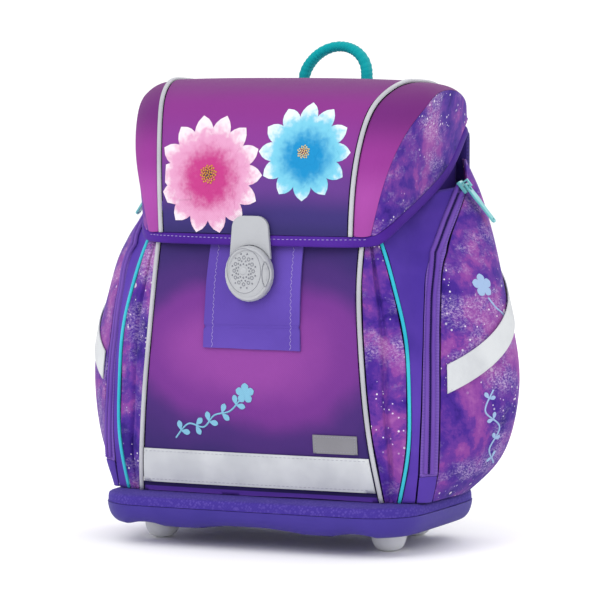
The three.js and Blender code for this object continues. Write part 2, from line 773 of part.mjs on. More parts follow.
const sliderPlate = toSolid(positionsOnly(new THREE.ExtrudeGeometry(sliderShape, {
  depth: sliderThick, bevelEnabled: false,
})));
const slider = fromSolid(sliderPlate.add(bridge.subtract(bridgeGap)));
addPair('zip_slider', slider.applyMatrix4(sliderPlace), 'teal');

const windowHalf = bridgeWidth / 2 + pullPlay;
const ringHalf = windowHalf + ringBar;
const windowEnd = Math.hypot(bridgeOuter / 2, bridgeHollow / 2 + bridgeWall) + 2 * pullPlay;
const pullShape = new THREE.Shape();
const ovalCentre = windowEnd + pullOval;
const barStart = ovalCentre + 1.1 * pullOval;
const barHalf = 0.36 * pullWidth;
const ovalHalf = 0.62 * pullWidth;
const ringEnd = windowEnd + crossBar / 2;
pullShape.moveTo(-ringHalf, crossBar / 2);
pullShape.lineTo(-ringHalf, -ringEnd);
pullShape.quadraticCurveTo(-ovalHalf, -ovalCentre, -barHalf, -barStart);
pullShape.lineTo(-barHalf, -pullLength);
pullShape.absarc(0, -pullLength, barHalf, Math.PI, 2 * Math.PI, false);
pullShape.lineTo(barHalf, -barStart);
pullShape.quadraticCurveTo(ovalHalf, -ovalCentre, ringHalf, -ringEnd);
pullShape.lineTo(ringHalf, crossBar / 2);
pullShape.closePath();
const pullWindow = new THREE.Path();
pullWindow.moveTo(-windowHalf, -crossBar / 2);
pullWindow.lineTo(windowHalf, -crossBar / 2);
pullWindow.lineTo(windowHalf, -windowEnd);
pullWindow.lineTo(-windowHalf, -windowEnd);
pullWindow.closePath();
const pullHole = new THREE.Path();
pullHole.absarc(0, -pullLength, pullHoleRadius, 0, 2 * Math.PI, true);
pullShape.holes.push(pullWindow, pullHole);
const pull = positionsOnly(new THREE.ExtrudeGeometry(pullShape, {
  depth: crossBar, curveSegments: 5, bevelEnabled: false,
}));
pull.translate(0, 0, hingeHeight - crossBar / 2);
addPair('zip_pull', pull.applyMatrix4(sliderPlace), 'teal');

// Lock: a plate on the flap and a round housing in front of the closure tab
const lockBack = frontPoint(0, claspHeight - claspRadius, 2 * gap + tabWall).y;
const lockPlace = new THREE.Matrix4()
  .makeBasis(point(1, 0, 0), point(0, 0, 1), point(0, -1, 0))
  .setPosition(0, lockBack, claspHeight);
const housingProfile = [
  [0, 0], [0.93, 0], [1, 0.16], [1, 0.68], [0.94, 0.92],
  [0.87, 0.92], [0.81, 0.77], [0.3, 0.94], [0, 1],
].map(([radius, depth]) => new THREE.Vector2(radius * claspRadius, depth * claspDepth));
const housingRound = new THREE.LatheGeometry(housingProfile, 26)
  .rotateX(Math.PI / 2)
  .scale(claspSqueeze, 1, 1);
const fingerNotch = new THREE.SphereGeometry(1, 12, 8)
  .scale(0.19 * claspRadius, 0.4 * claspRadius, 0.38 * claspDepth)
  .translate(claspRadius * claspSqueeze, 0, claspDepth);
const housing = toSolid(positionsOnly(housingRound)).subtract(toSolid(positionsOnly(fingerNotch)));
add('clasp_housing', fromSolid(housing).applyMatrix4(lockPlace), 'plastic');

const plateHalf = claspPlateWidth / 2;
const plateTopHalf = claspPlateTopWidth / 2;
const plateArc = claspRadius + gap;
const plateArcAcross = claspRadius * claspSqueeze + gap;
const plateAngle = Math.acos(plateHalf / plateArcAcross);
const plateSide = plateArc * Math.sin(plateAngle);
const plateTop = claspDrop + plateOverFlap;
const plateShape = new THREE.Shape();
plateShape.moveTo(plateHalf, plateSide);
plateShape.lineTo(plateTopHalf, plateTop - plateCorner);
const cornerX = plateTopHalf - plateCorner;
const cornerY = plateTop - plateCorner;
plateShape.absarc(cornerX, cornerY, plateCorner, 0, Math.PI / 2, false);
plateShape.absarc(-cornerX, cornerY, plateCorner, Math.PI / 2, Math.PI, false);
plateShape.lineTo(-plateHalf, plateSide);
plateShape.absellipse(0, 0, plateArcAcross, plateArc, Math.PI - plateAngle, plateAngle, true, 0);
const plate = toSolid(positionsOnly(new THREE.ExtrudeGeometry(plateShape, {
  depth: claspPlateDepth, curveSegments: 6, bevelEnabled: false,
})));
const flapFaceAtLock = linePoint(flapLines.middle, 0.06).y - gap;
const bossDepth = flapFaceAtLock - lockBack;
const bossSunk = 0.3 * claspPlateDepth;
const bossBottom = claspDrop + bossInset / 3;
const bossTop = plateTop - bossInset / 2;
const bossWidth = claspPlateTopWidth - 1.5 * bossInset;
const bossMiddle = (bossTop + bossBottom) / 2;
const boss = toSolid(box(
  bossWidth, bossTop - bossBottom, bossDepth + bossSunk, 0, bossMiddle, (bossSunk - bossDepth) / 2,
));
add('clasp_plate', fromSolid(plate.add(boss)).applyMatrix4(lockPlace), 'plastic');

// Base: a moulded tray, a stitched band round its rim and four feet
function trayOutline(inset, height) {
  const half = trayHalfWidth - inset;
  const corner = Math.max(trayCorner - inset, 4);
  const frontEnd = { half, reach: trayFront - inset, corner };
  const backEnd = { half, reach: trayBack - inset, corner };
  return roundedOutline(frontEnd, backEnd, outlineSteps, height);
}
const trayHeight = trayTop - trayBottom;
const trayFloor = trayWall / trayHeight;
const trayProfile = [
  { in: 0.78, up: 0 },
  { in: 0.39, up: 0.12 },
  { in: 0.14, up: 0.4 },
  { in: 0.03, up: 0.75 },
  { in: 0, up: 1 },
];
const trayInside = [{ in: 0, up: 1 }, { in: 0.14, up: 0.4 }, { in: 0.5, up: trayFloor }];
add('base_tray', rings([
  ...trayProfile.map((row) => trayOutline(row.in * trayHeight, trayBottom + row.up * trayHeight)),
  ...trayInside.map((row) => trayOutline(trayWall + row.in * trayHeight, trayBottom + row.up * trayHeight)),
]), 'tray');

const bandBottom = trayTop + gap;
const bodySeat = (height) => bodyOutline(height, -gap);
const bandInset = 0.25 * bandWall;
add('base_band', rings([
  trayOutline(bandInset, bandBottom),
  trayOutline(bandInset, bandTop - bandWall),
  trayOutline(bandWall, bandTop),
  bodySeat(bandTop),
  bodySeat(bandTop - bandWall),
  trayOutline(bandInset + bandWall, bandTop - bandWall),
  trayOutline(bandInset + bandWall, bandBottom),
], true), 'band');

const footTop = trayBottom - gap;
const footProfile = [
  [0, 0], [footContact, 0], [0.72 * footRadius, 0.14 * footTop], [0.91 * footRadius, 0.42 * footTop],
  [footRadius, 0.8 * footTop], [footRadius, footTop], [0, footTop],
].map(([radius, height]) => new THREE.Vector2(radius, height));
const foot = positionsOnly(new THREE.LatheGeometry(footProfile, 14).rotateX(Math.PI / 2));
addPair('foot_front', foot.clone().translate(footSpread, -footFront, 0), 'plastic');
addPair('foot_back', foot.clone().translate(footBackSpread, footBack, 0), 'plastic');

// Back panel, behind the body and the back edges of the side pockets
const backFront = bodyBack + gap;
const backPanelTop = linePoint(flapLines.middle, 1).z - 0.6 * flapWall - 2 * gap;
const backPanelBottom = bandTop + gap;
const backHeight = backPanelTop - backPanelBottom;
const backRight = backPanelHalf - backPanelCorner;
const backUpper = backHeight - backPanelCorner;
const backShape = new THREE.Shape();
backShape.moveTo(backRight, 0);
backShape.absarc(backRight, backPanelCorner, backPanelCorner, -Math.PI / 2, 0, false);
backShape.absarc(backRight, backUpper, backPanelCorner, 0, Math.PI / 2, false);
backShape.absarc(-backRight, backUpper, backPanelCorner, Math.PI / 2, Math.PI, false);
backShape.absarc(-backRight, backPanelCorner, backPanelCorner, Math.PI, Math.PI * 1.5, false);
const backPanel = positionsOnly(new THREE.ExtrudeGeometry(backShape, {
  depth: backPanelThick, curveSegments: 4, bevelEnabled: false,
}));
backPanel.rotateX(Math.PI / 2).translate(0, backFront + backPanelThick, backPanelBottom);
add('back_panel', backPanel, 'padding');
const backFace = backFront + backPanelThick;

// Handle: a padded loop that rises behind the flap, its legs against the back panel
const handleBase = bodyHeight - handleSink;
const handleHigh = backFace - 0.05 * bodyDeep;
const handleLow = backFace + gap + handleWidth / 2;
const handleRows = [
  { wide: 0.93, in: 1.0, up: 0.825 },
  { wide: 0.93, in: 1.0, up: 0.913 },
  { wide: 0.96, in: 0.4, up: 0.958 },
];
const handleFoot = handleRows.map((row) => (
  point(row.wide * handleSpan, handleHigh + row.in * (handleLow - handleHigh), row.up * handleBase)
));
const handleArch = [0, 22, 45, 68, 90].map((degrees) => {
  const angle = THREE.MathUtils.degToRad(degrees);
  const rise = handleRise * Math.sin(angle);
  return point(handleSpan * Math.cos(angle), handleHigh + handleLean * rise, handleBase + rise);
});
const handleRight = [...handleFoot, ...handleArch];
const handleLine = new THREE.CatmullRomCurve3([
  ...handleRight,
  ...handleRight.slice(0, -1).reverse().map((at) => point(-at.x, at.y, at.z)),
]);
const handleStations = Array.from({ length: 25 }, (_, n) => {
  const at = handleLine.getPoint(n / 24);
  const along = handleLine.getTangent(n / 24);
  const side = point(0, 1, 0).addScaledVector(along, -along.y).normalize();
  return { at, side, face: along.clone().cross(side).normalize() };
});
add('handle', sweep(handleStations, handleWidth, handleThick), 'teal');

// Shoulder straps: padded, from the top of the back panel down, then webbing to its lower corners
const strapRows = [
  { wide: 0.347, out: 0.00, down: 0.000 },
  { wide: 0.355, out: 0.33, down: 0.037 },
  { wide: 0.372, out: 0.81, down: 0.149 },
  { wide: 0.405, out: 1.00, down: 0.340 },
  { wide: 0.455, out: 0.93, down: 0.553 },
  { wide: 0.512, out: 0.67, down: 0.750 },
  { wide: 0.570, out: 0.30, down: 0.899 },
  { wide: 0.603, out: 0.07, down: 1.000 },
];
const strapTop = bodyHeight - strapDrop;
const strapSeat = backFace + gap + strapThick / 2;
const strapLine = new THREE.CatmullRomCurve3(strapRows.map((row) => point(
  row.wide * backPanelHalf, strapSeat + row.out * strapSlack, strapTop - row.down * (strapTop - strapBottom),
)));
function stripStations(line, count) {
  return Array.from({ length: count + 1 }, (_, n) => {
    const at = line.getPoint(n / count);
    const along = line.getTangent(n / count);
    const face = along.clone().cross(point(1, 0, 0)).normalize();
    return { at, side: face.clone().cross(along).normalize(), face };
  });
}
addPair('shoulder_strap', sweep(stripStations(strapLine, 11), strapWidth, strapThick), 'padding');
const strapEnd = strapLine.getPoint(1);
const webEnd = point(0.81 * backPanelHalf, backFace + gap + webThick / 2, webBottom);
const strapDown = webEnd.clone().sub(strapEnd).setY(0).normalize();
const adjusterSeat = backFace + gap + Math.max(adjusterThick, strapThick) / 2;
const adjusterAt = (along) => strapEnd.clone().addScaledVector(strapDown, along).setY(adjusterSeat);
const adjusterFrom = adjusterAt(strapThick / 2 + gap);
const adjusterTo = adjusterAt(strapThick / 2 + gap + adjusterLength);
const adjusterLine = new THREE.LineCurve3(adjusterFrom, adjusterTo);
addPair('strap_adjuster', sweep(stripStations(adjusterLine, 1), adjusterWidth, adjusterThick), 'plastic');
const webStart = adjusterTo.clone().addScaledVector(strapDown, gap).setY(webEnd.y);
const webLine = new THREE.LineCurve3(webStart, webEnd);
addPair('strap_web', sweep(stripStations(webLine, 1), webWidth, webThick), 'padding');

// The bag stands with the middle of its box over the origin
const extent = new THREE.Box3().setFromObject(ransel);
ransel.position.y = -(extent.min.y + extent.max.y) / 2;

export default ransel;
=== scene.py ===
import math

import bmesh
import bpy
from mathutils import Matrix, Vector, noise
from mathutils.bvhtree import BVHTree


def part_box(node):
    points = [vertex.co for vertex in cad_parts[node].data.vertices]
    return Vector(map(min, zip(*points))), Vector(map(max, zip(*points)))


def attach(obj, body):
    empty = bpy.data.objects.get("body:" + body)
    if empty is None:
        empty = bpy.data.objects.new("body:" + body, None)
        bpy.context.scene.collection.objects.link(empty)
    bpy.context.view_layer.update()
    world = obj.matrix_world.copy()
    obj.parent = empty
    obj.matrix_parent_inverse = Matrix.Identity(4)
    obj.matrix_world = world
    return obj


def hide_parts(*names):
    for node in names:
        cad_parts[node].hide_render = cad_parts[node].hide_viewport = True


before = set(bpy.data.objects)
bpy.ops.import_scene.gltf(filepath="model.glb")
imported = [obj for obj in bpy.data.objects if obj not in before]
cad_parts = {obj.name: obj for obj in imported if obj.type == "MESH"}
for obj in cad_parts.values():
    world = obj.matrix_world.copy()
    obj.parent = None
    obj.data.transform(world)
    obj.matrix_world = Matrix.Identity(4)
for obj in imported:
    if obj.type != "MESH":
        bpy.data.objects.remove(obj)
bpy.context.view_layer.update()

# The camera and the zip's marks are measured from the body's middle, this far in front of the origin
middle_ahead = 0.01575


# Studio: a white floor that runs back without an edge, two large soft boxes and an even sky.
# The camera stands three metres off, a little above the bag, and looks along the photograph's line.
def place_camera(angle, distance, eye_height, lens, aim):
    """Put a camera at a compass angle round the bag, looking at a point on it."""
    data = bpy.data.cameras.new("camera")
    data.lens = lens
    camera = bpy.data.objects.new("camera", data)
    turn = math.radians(angle)
    camera.location = (distance * math.sin(turn), -distance * math.cos(turn) - middle_ahead, eye_height)
    camera.rotation_euler = (Vector(aim) - camera.location).to_track_quat("-Z", "Y").to_euler()
    bpy.context.scene.collection.objects.link(camera)
    bpy.context.scene.camera = camera


def soft_box(name, power, size, place, aim):
    """A square studio light that faces a point."""
    data = bpy.data.lights.new(name, "AREA")
    data.energy = power
    data.size = size
    light = bpy.data.objects.new(name, data)
    light.location = place
    light.rotation_euler = (Vector(aim) - Vector(place)).to_track_quat("-Z", "Y").to_euler()
    bpy.context.scene.collection.objects.link(light)


def shader_node(tree, kind, sockets=None, **settings):
    """Add a shader node with its settings, and fill its sockets by name with values or links."""
    made = tree.nodes.new(kind)
    for name, value in settings.items():
        setattr(made, name, value)
    for name, value in (sockets or {}).items():
        if isinstance(value, bpy.types.NodeSocket):
            tree.links.new(value, made.inputs[name])
        else:
            made.inputs[name].default_value = value
    return made


# The lights show a colour this much brighter than its dye
studio_gain = 1.34
bag_middle = (0, 0, 0.2)


def dyed(code):
    """A colour as it is seen under the studio's lights, in hexadecimal code, as the dye that gives it."""
    shares = [int(code[at:at + 2], 16) / 255 for at in (1, 3, 5)]
    linear = [share / 12.92 if share <= 0.04045 else ((share + 0.055) / 1.055) ** 2.4 for share in shares]
    return (*(value / studio_gain for value in linear), 1.0)


place_camera(angle=24.5, distance=3.069, eye_height=0.422, lens=224.3, aim=(0.00599, -0.01302, 0.19748))
bpy.context.scene.view_settings.view_transform = "Standard"
soft_box("key light", power=40, size=2.2, place=(-0.7, -2.7, 2.2), aim=bag_middle)
soft_box("fill light", power=12, size=2.4, place=(2.6, -1.5, 1.5), aim=bag_middle)
soft_box("back light", power=24, size=2.0, place=(0.4, 2.4, 2.2), aim=bag_middle)
world = bpy.data.worlds.new("studio sky")
bpy.context.scene.world = world
world.use_nodes = True
sky = world.node_tree.nodes["Background"]
sky.inputs["Color"].default_value = (1, 1, 1, 1)
sky.inputs["Strength"].default_value = 1.12

floor_mesh = bmesh.new()
bmesh.ops.create_grid(floor_mesh, x_segments=1, y_segments=1, size=12)
floor_data = bpy.data.meshes.new("studio_floor")
floor_mesh.to_mesh(floor_data)
floor_mesh.free()
floor = bpy.data.objects.new("studio_floor", floor_data)
bpy.context.scene.collection.objects.link(floor)
floor_paper = bpy.data.materials.new("floor paper")
floor_paper.use_nodes = True
floor_tree = floor_paper.node_tree
floor_coat = floor_tree.nodes["Principled BSDF"]
floor_grain = shader_node(floor_tree, "ShaderNodeTexNoise", {"Scale": 3.0, "Detail": 2.0})
floor_ramp = shader_node(floor_tree, "ShaderNodeValToRGB", {"Fac": floor_grain.outputs["Fac"]})
floor_ramp.color_ramp.elements[0].color = (0.95, 0.95, 0.955, 1)
floor_ramp.color_ramp.elements[1].color = (0.97, 0.97, 0.975, 1)
floor_tree.links.new(floor_ramp.outputs["Color"], floor_coat.inputs["Base Color"])
floor_coat.inputs["Roughness"].default_value = 0.9
floor_data.materials.append(floor_paper)


# Body: a stiff board box covered in violet cloth, open under the flap.
# Each cloth piece is cut as a panel, so its rims stay crisp while its face is drawn smooth.
def finished(obj, node_names, body, material):
    """Give a piece its material, hang it on its body and let it stand for its plain solids."""
    obj.data.materials.clear()
    obj.data.materials.append(material)
    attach(obj, body)
    if node_names:
        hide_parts(*node_names)
    return obj


def added(name, mesh, material, smooth_angle=40):
    """Finish a drawn piece on the bag that stands for no plain solid."""
    return finished(as_object(name, mesh, smooth_angle), [], "bag", material)


def as_object(name, mesh, smooth_angle=40):
    """Turn an edit mesh into a named object with soft shading."""
    data = bpy.data.meshes.new(name)
    mesh.to_mesh(data)
    mesh.free()
    obj = bpy.data.objects.new(name, data)
    bpy.context.scene.collection.objects.link(obj)
    shade(obj, smooth_angle)
    return obj


def shade(obj, smooth_angle):
    """Soft shading, with a crisp line wherever two faces meet at more than an angle."""
    for face in obj.data.polygons:
        face.use_smooth = True
    obj.data.set_sharp_from_angle(angle=math.radians(smooth_angle))


def apply_modifiers(obj):
    """Bake the modifiers into the mesh."""
    depsgraph = bpy.context.evaluated_depsgraph_get()
    baked = bpy.data.meshes.new_from_object(obj.evaluated_get(depsgraph))
    obj.modifiers.clear()
    obj.data = baked


def move_points(obj, move):
    """Shift each point by what a function of its place and its normal gives."""
    shifts = [move(vert.co.copy(), vert.normal.copy()) for vert in obj.data.vertices]
    for vert, shift in zip(obj.data.vertices, shifts):
        vert.co += shift


def joined_copy(node_name):
    """An edit mesh of a plain solid, with the points that its faces share joined."""
    mesh = bmesh.new()
    mesh.from_mesh(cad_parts[node_name].data)
    bmesh.ops.remove_doubles(mesh, verts=mesh.verts, dist=2e-6)
    return mesh


def sewn_panel(node_name, levels, swell=0.0, rim_angle=50, soften=None):
    """A smooth copy of a cut panel: rims stay put, the face is drawn fair, and soften may move its points."""
    mesh = joined_copy(node_name)
    bmesh.ops.join_triangles(
        mesh, faces=mesh.faces, angle_face_threshold=math.radians(35), angle_shape_threshold=math.radians(70),
    )
    if swell:
        mesh.normal_update()
        for vert in mesh.verts:
            vert.co += vert.normal * swell
    crease = mesh.edges.layers.float.new("crease_edge")
    for edge in mesh.edges:
        if edge.calc_face_angle(0) > math.radians(rim_angle):
            edge[crease] = 1.0
    obj = as_object(f"{node_name}_cloth", mesh)
    smooth = obj.modifiers.new("smooth", "SUBSURF")
    smooth.levels = levels
    smooth.render_levels = levels
    apply_modifiers(obj)
    if soften:
        move_points(obj, soften)
    shade(obj, 45)
    return obj


def dress(node_names, levels, slot, material, **how):
    """Sew a panel for each of some plain solids on the bag, all in one material."""
    return [
        finished(sewn_panel(name, levels, **how), [name], "bag", material)
        for name in node_names
    ]


def both_sides(name):
    """The names of a piece on the right and on the left."""
    return [f"{name}_right", f"{name}_left"]


def socket_group(name, inputs, outputs):
    """A shader node group with named sockets, ready to be filled."""
    group = bpy.data.node_groups.new(name, "ShaderNodeTree")
    for socket_name, kind, value in inputs:
        made = group.interface.new_socket(socket_name, in_out="INPUT", socket_type=f"NodeSocket{kind}")
        if value is not None:
            made.default_value = value
    for socket_name, kind in outputs:
        group.interface.new_socket(socket_name, in_out="OUTPUT", socket_type=f"NodeSocket{kind}")
    return group, group.nodes.new("NodeGroupInput"), group.nodes.new("NodeGroupOutput")


def math_node(tree, operation, first, second=0.0, third=0.0):
    """The result of one sum on two or three numbers or links."""
    sockets = {0: first, 1: second, 2: third}
    return shader_node(tree, "ShaderNodeMath", sockets, operation=operation).outputs[0]


def mixed_colour(tree, amount, first, second, blend_type="MIX"):
    """Two colours mixed by an amount."""
    sockets = {0: amount, 6: first, 7: second}
    made = shader_node(tree, "ShaderNodeMix", sockets, data_type="RGBA", blend_type=blend_type)
    return made.outputs[2]


def cloudy(tree, where, scale, detail, **sockets):
    """A soft noise, from 0 to 1."""
    return shader_node(tree, "ShaderNodeTexNoise", {
        "Vector": where, "Scale": scale, "Detail": detail, **sockets,
    }).outputs["Fac"]


def colour_steps(tree, factor, steps, smooth=True):
    """A run of colours at given places along a factor from 0 to 1."""
    ramp = shader_node(tree, "ShaderNodeValToRGB", {"Fac": factor})
    ramp.color_ramp.interpolation = "EASE" if smooth else "LINEAR"
    stops = ramp.color_ramp.elements
    while len(stops) < len(steps):
        stops.new(0.5)
    for stop, (at, colour) in zip(stops, steps):
        stop.position = at
        stop.color = dyed(colour) if isinstance(colour, str) else (colour, colour, colour, 1)
    return ramp.outputs["Color"]


def weave_group():
    """Plain weave: two sets of threads that cross, with a little slub, as height and as shade."""
    group, given, result = socket_group(
        "plain weave",
        [("Vector", "Vector", None), ("Threads", "Float", 900.0), ("Depth", "Float", 1.0)],
        [("Height", "Float"), ("Shade", "Float")],
    )
    split = shader_node(group, "ShaderNodeSeparateXYZ", {"Vector": given.outputs["Vector"]})
    across = math_node(group, "ADD", split.outputs["X"], split.outputs["Y"])
    along = math_node(group, "MULTIPLY_ADD", split.outputs["Y"], 0.35, split.outputs["Z"])
    warp = math_node(group, "SINE", math_node(group, "MULTIPLY", across, given.outputs["Threads"]))
    weft = math_node(group, "SINE", math_node(group, "MULTIPLY", along, given.outputs["Threads"]))
    crossing = math_node(group, "MULTIPLY", warp, weft)
    slub = cloudy(group, given.outputs["Vector"], 700.0, 2.0)
    rough = math_node(group, "MULTIPLY_ADD", slub, 0.8, crossing)
    height = math_node(group, "MULTIPLY", rough, given.outputs["Depth"])
    shade_value = math_node(group, "MULTIPLY_ADD", rough, 0.06, 0.95)
    group.links.new(height, result.inputs["Height"])
    group.links.new(shade_value, result.inputs["Shade"])
    return group


plain_weave = weave_group()


def new_material(name):
    """A new material with its nodes, its coat's shader and the places on the object."""
    material = bpy.data.materials.new(name)
    material.use_nodes = True
    tree = material.node_tree
    where = shader_node(tree, "ShaderNodeTexCoord").outputs["Object"]
    return material, tree, tree.nodes["Principled BSDF"], where


def cloth_material(name, colour_of, threads=3600.0, depth=0.5, roughness=0.8, sheen=0.03, fold=0.35):
    """Woven cloth: a colour or print, shaded by its threads, with soft folds and a faint sheen."""
    material, tree, coat, where = new_material(name)
    weave = shader_node(tree, "ShaderNodeGroup", {
        "Vector": where, "Threads": threads, "Depth": depth,
    }, node_tree=plain_weave)
    colour = colour_of(tree, where)
    shaded = mixed_colour(tree, 1.0, colour, weave.outputs["Shade"], "MULTIPLY")
    tree.links.new(shaded, coat.inputs["Base Color"])
    soft = shader_node(tree, "ShaderNodeBump", {
        "Height": cloudy(tree, where, 26.0, 3.0), "Strength": fold, "Distance": 0.004,
    })
    fine = shader_node(tree, "ShaderNodeBump", {
        "Height": weave.outputs["Height"], "Strength": 0.25, "Distance": 0.0002,
        "Normal": soft.outputs["Normal"],
    })
    tree.links.new(fine.outputs["Normal"], coat.inputs["Normal"])
    coat.inputs["Roughness"].default_value = roughness
    coat.inputs["Sheen Weight"].default_value = sheen
    coat.inputs["Specular IOR Level"].default_value = 0.12
    return material


def plain_dye(deep, bright):
    """One colour with slight unevenness in its dye."""
    def colour_of(tree, where):
        return colour_steps(tree, cloudy(tree, where, 14.0, 3.0), [(0.3, deep), (0.7, bright)])
    return colour_of


violet_cloth = cloth_material("violet cloth", plain_dye("#5f46ab", "#6a50ba"))
body_cloth = cloth_material("body cloth", plain_dye("#41298f", "#5a3cac"))
dress(["body_shell"], 0, "violet_fabric", body_cloth)


# Front pocket: one panel printed in a glow of magenta on indigo, a folded galaxy gusset at each side.
# Grey piping closes the panel's seams, thin turquoise piping the gussets' outer seams.
def lift_to_height(tree, where, low, high):
    """How far up a point lies between two heights, from 0 to 1."""
    split = shader_node(tree, "ShaderNodeSeparateXYZ", {"Vector": where})
    return shader_node(tree, "ShaderNodeMapRange", {
        "Value": split.outputs["Z"], "From Min": low, "From Max": high,
    }).outputs["Result"]


def glow(tree, where, centre, reach):
    """1 at a centre, fading to 0 at a reach that has its own length along each axis."""
    moved = shader_node(tree, "ShaderNodeMapping", {
        "Vector": where, "Scale": [1 / length for length in reach],
        "Location": [-middle / length for middle, length in zip(centre, reach)],
    })
    away = shader_node(tree, "ShaderNodeVectorMath", {0: moved.outputs["Vector"]}, operation="LENGTH")
    return shader_node(tree, "ShaderNodeMapRange", {
        "Value": away.outputs["Value"], "From Min": 1.0, "From Max": 0.0,
    }, interpolation_type="SMOOTHSTEP").outputs["Result"]


def made_uneven(tree, amount, texture, share):
    """An amount that a texture raises and lowers by up to half a share."""
    drift = math_node(tree, "SUBTRACT", texture, 0.5)
    return math_node(tree, "MULTIPLY_ADD", drift, share, amount)


hem_top = 0.0555


def front_print(tree, where):
    """Indigo at the top, the corners and the bottom, a magenta glow in the middle and a violet hem."""
    drift = cloudy(tree, where, 11.0, 3.0)
    amount = glow(tree, where, centre=(0.0, -0.075, 0.158), reach=(0.200, 0.5, 0.104))
    printed = colour_steps(tree, made_uneven(tree, amount, drift, 0.5), [
        (0.00, "#3b2c6e"), (0.25, "#4d2f7a"), (0.55, "#7a3894"), (0.95, "#9648a4"),
    ])
    hem = colour_steps(tree, lift_to_height(tree, where, low=0.040, high=0.056), [
        (0.0, "#6a40b2"), (0.38, "#5a38a2"), (0.42, "#2a2156"), (0.9, "#2f2560"),
    ])
    split = shader_node(tree, "ShaderNodeSeparateXYZ", {"Vector": where})
    above_hem = math_node(tree, "GREATER_THAN", split.outputs["Z"], hem_top)
    return mixed_colour(tree, above_hem, hem, printed)


def galaxy_group():
    """Galaxy print: drifting magenta, violet and indigo clouds, dry strokes and white paint splatter."""
    group, given, result = socket_group(
        "galaxy print",
        [("Vector", "Vector", None), ("Cloud Size", "Float", 22.0)],
        [("Color", "Color")],
    )
    place = given.outputs["Vector"]
    clouds = cloudy(group, place, given.outputs["Cloud Size"], 8.0, Roughness=0.68, Distortion=0.15)
    base = colour_steps(group, clouds, [
        (0.37, "#331a80"), (0.45, "#4c2998"), (0.52, "#6b38a0"),
        (0.58, "#9147a5"), (0.66, "#a65dae"), (0.75, "#a98bcb"),
    ])
    turned = shader_node(group, "ShaderNodeMapping", {
        "Vector": place, "Rotation": (0.0, 0.5, 0.3), "Scale": (1.0, 1.0, 1.6),
    }).outputs["Vector"]
    sponge = cloudy(group, turned, 420.0, 6.0, Roughness=0.8)
    brushed = cloudy(group, turned, 19.0, 4.0, Roughness=0.6)
    dabs = colour_steps(group, sponge, [(0.46, 0.0), (0.62, 1.0)], False)
    reach = colour_steps(group, brushed, [(0.48, 0.0), (0.62, 1.0)], False)
    dry = math_node(group, "MULTIPLY", math_node(group, "MULTIPLY", dabs, reach), 0.8)
    stroked = mixed_colour(group, dry, base, dyed("#d8bfe8"))
    crowd = colour_steps(group, cloudy(group, place, 16.0, 1.0), [(0.42, 0.0), (0.56, 1.0)], False)
    spattered = stroked
    size_spread = 0.40
    for drop_scale, largest in ((95.0, 0.20), (260.0, 0.26)):
        drops = shader_node(group, "ShaderNodeTexVoronoi", {
            "Vector": place, "Scale": drop_scale, "Randomness": 1.0,
        })
        picked = shader_node(group, "ShaderNodeSeparateColor", {"Color": drops.outputs["Color"]})
        size = math_node(group, "MULTIPLY_ADD", picked.outputs["Red"], size_spread, largest - size_spread)
        inside = math_node(group, "LESS_THAN", drops.outputs["Distance"], size)
        shown = math_node(group, "MULTIPLY", inside, crowd)
        spattered = mixed_colour(group, shown, spattered, dyed("#ece2f2"))
    group.links.new(spattered, result.inputs["Color"])
    return group


galaxy = galaxy_group()


def galaxy_print(cloud_size, shift):
    """The galaxy print with its clouds at one size and shifted, as each panel is cut from its own place."""
    def colour_of(tree, where):
        moved = shader_node(tree, "ShaderNodeMapping", {"Vector": where, "Location": shift})
        return shader_node(tree, "ShaderNodeGroup", {
            "Vector": moved.outputs["Vector"], "Cloud Size": cloud_size,
        }, node_tree=galaxy).outputs["Color"]
    return colour_of


# Slack cloth sinks a little more than it rises
slack_lean = 0.15


def soft_swell(amount, size, seed):
    """Slack cloth: low swells of a given size over a panel, along its own face."""
    def move(point, normal):
        at = Vector(point) * size + Vector((seed, 2 * seed, 3 * seed))
        return Vector(normal) * (amount * (noise.noise(at) - slack_lean))
    return move


front_cloth = cloth_material("front pocket cloth", front_print)
gusset_cloth = cloth_material("gusset cloth", galaxy_print(24.0, (0.02, 0.1, 0.05)), fold=0.8)
front_swell = soft_swell(amount=0.0008, size=14, seed=3)
front = dress(["front_panel"], 3, "front_fabric", front_cloth, soften=front_swell)[0]


def surface_tree(*objects):
    """A searchable copy of the surfaces of some pieces."""
    points = []
    faces = []
    for obj in objects:
        first = len(points)
        points.extend(vert.co.copy() for vert in obj.data.vertices)
        faces.extend([first + index for index in face.vertices] for face in obj.data.polygons)
    return BVHTree.FromPolygons(points, faces)


def faded_in(distance, reach):
    """0 up to a start, then rising to 1 over a reach."""
    return min(max(distance / reach, 0.0), 1.0)


gusset_low = 0.045
gusset_high = 0.262
gusset_fade = 0.03
gusset_swell = 0.0022
pleat_depth = 0.0034
pleat_half_width = 0.07
pleat_sway = 0.04


def pleated(side):
    """The gusset's slack cloth: a swell on each side of one deep pleat that runs down between its seams."""
    inner = surface_tree(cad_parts[f"front_piping_{side}"])
    outer = surface_tree(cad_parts[f"side_piping_{side}"])
    wavy = soft_swell(amount=0.0010, size=34, seed=5)

    def move(point, normal):
        to_inner = inner.find_nearest(point)[3]
        to_outer = outer.find_nearest(point)[3]
        share = to_inner / (to_inner + to_outer)
        ends = faded_in(point.z - gusset_low, gusset_fade) * faded_in(gusset_high - point.z, gusset_fade)
        swell = gusset_swell * math.sin(math.pi * share) ** 2
        aside = share - 0.50 - pleat_sway * math.sin(40 * point.z)
        pleat = pleat_depth * math.exp(-(aside / pleat_half_width) ** 2)
        return Vector(normal) * (swell - pleat) * ends + wavy(point, normal) * ends
    return move


for side in ("right", "left"):
    dress([f"gusset_{side}"], 3, "galaxy_fabric", gusset_cloth, soften=pleated(side))


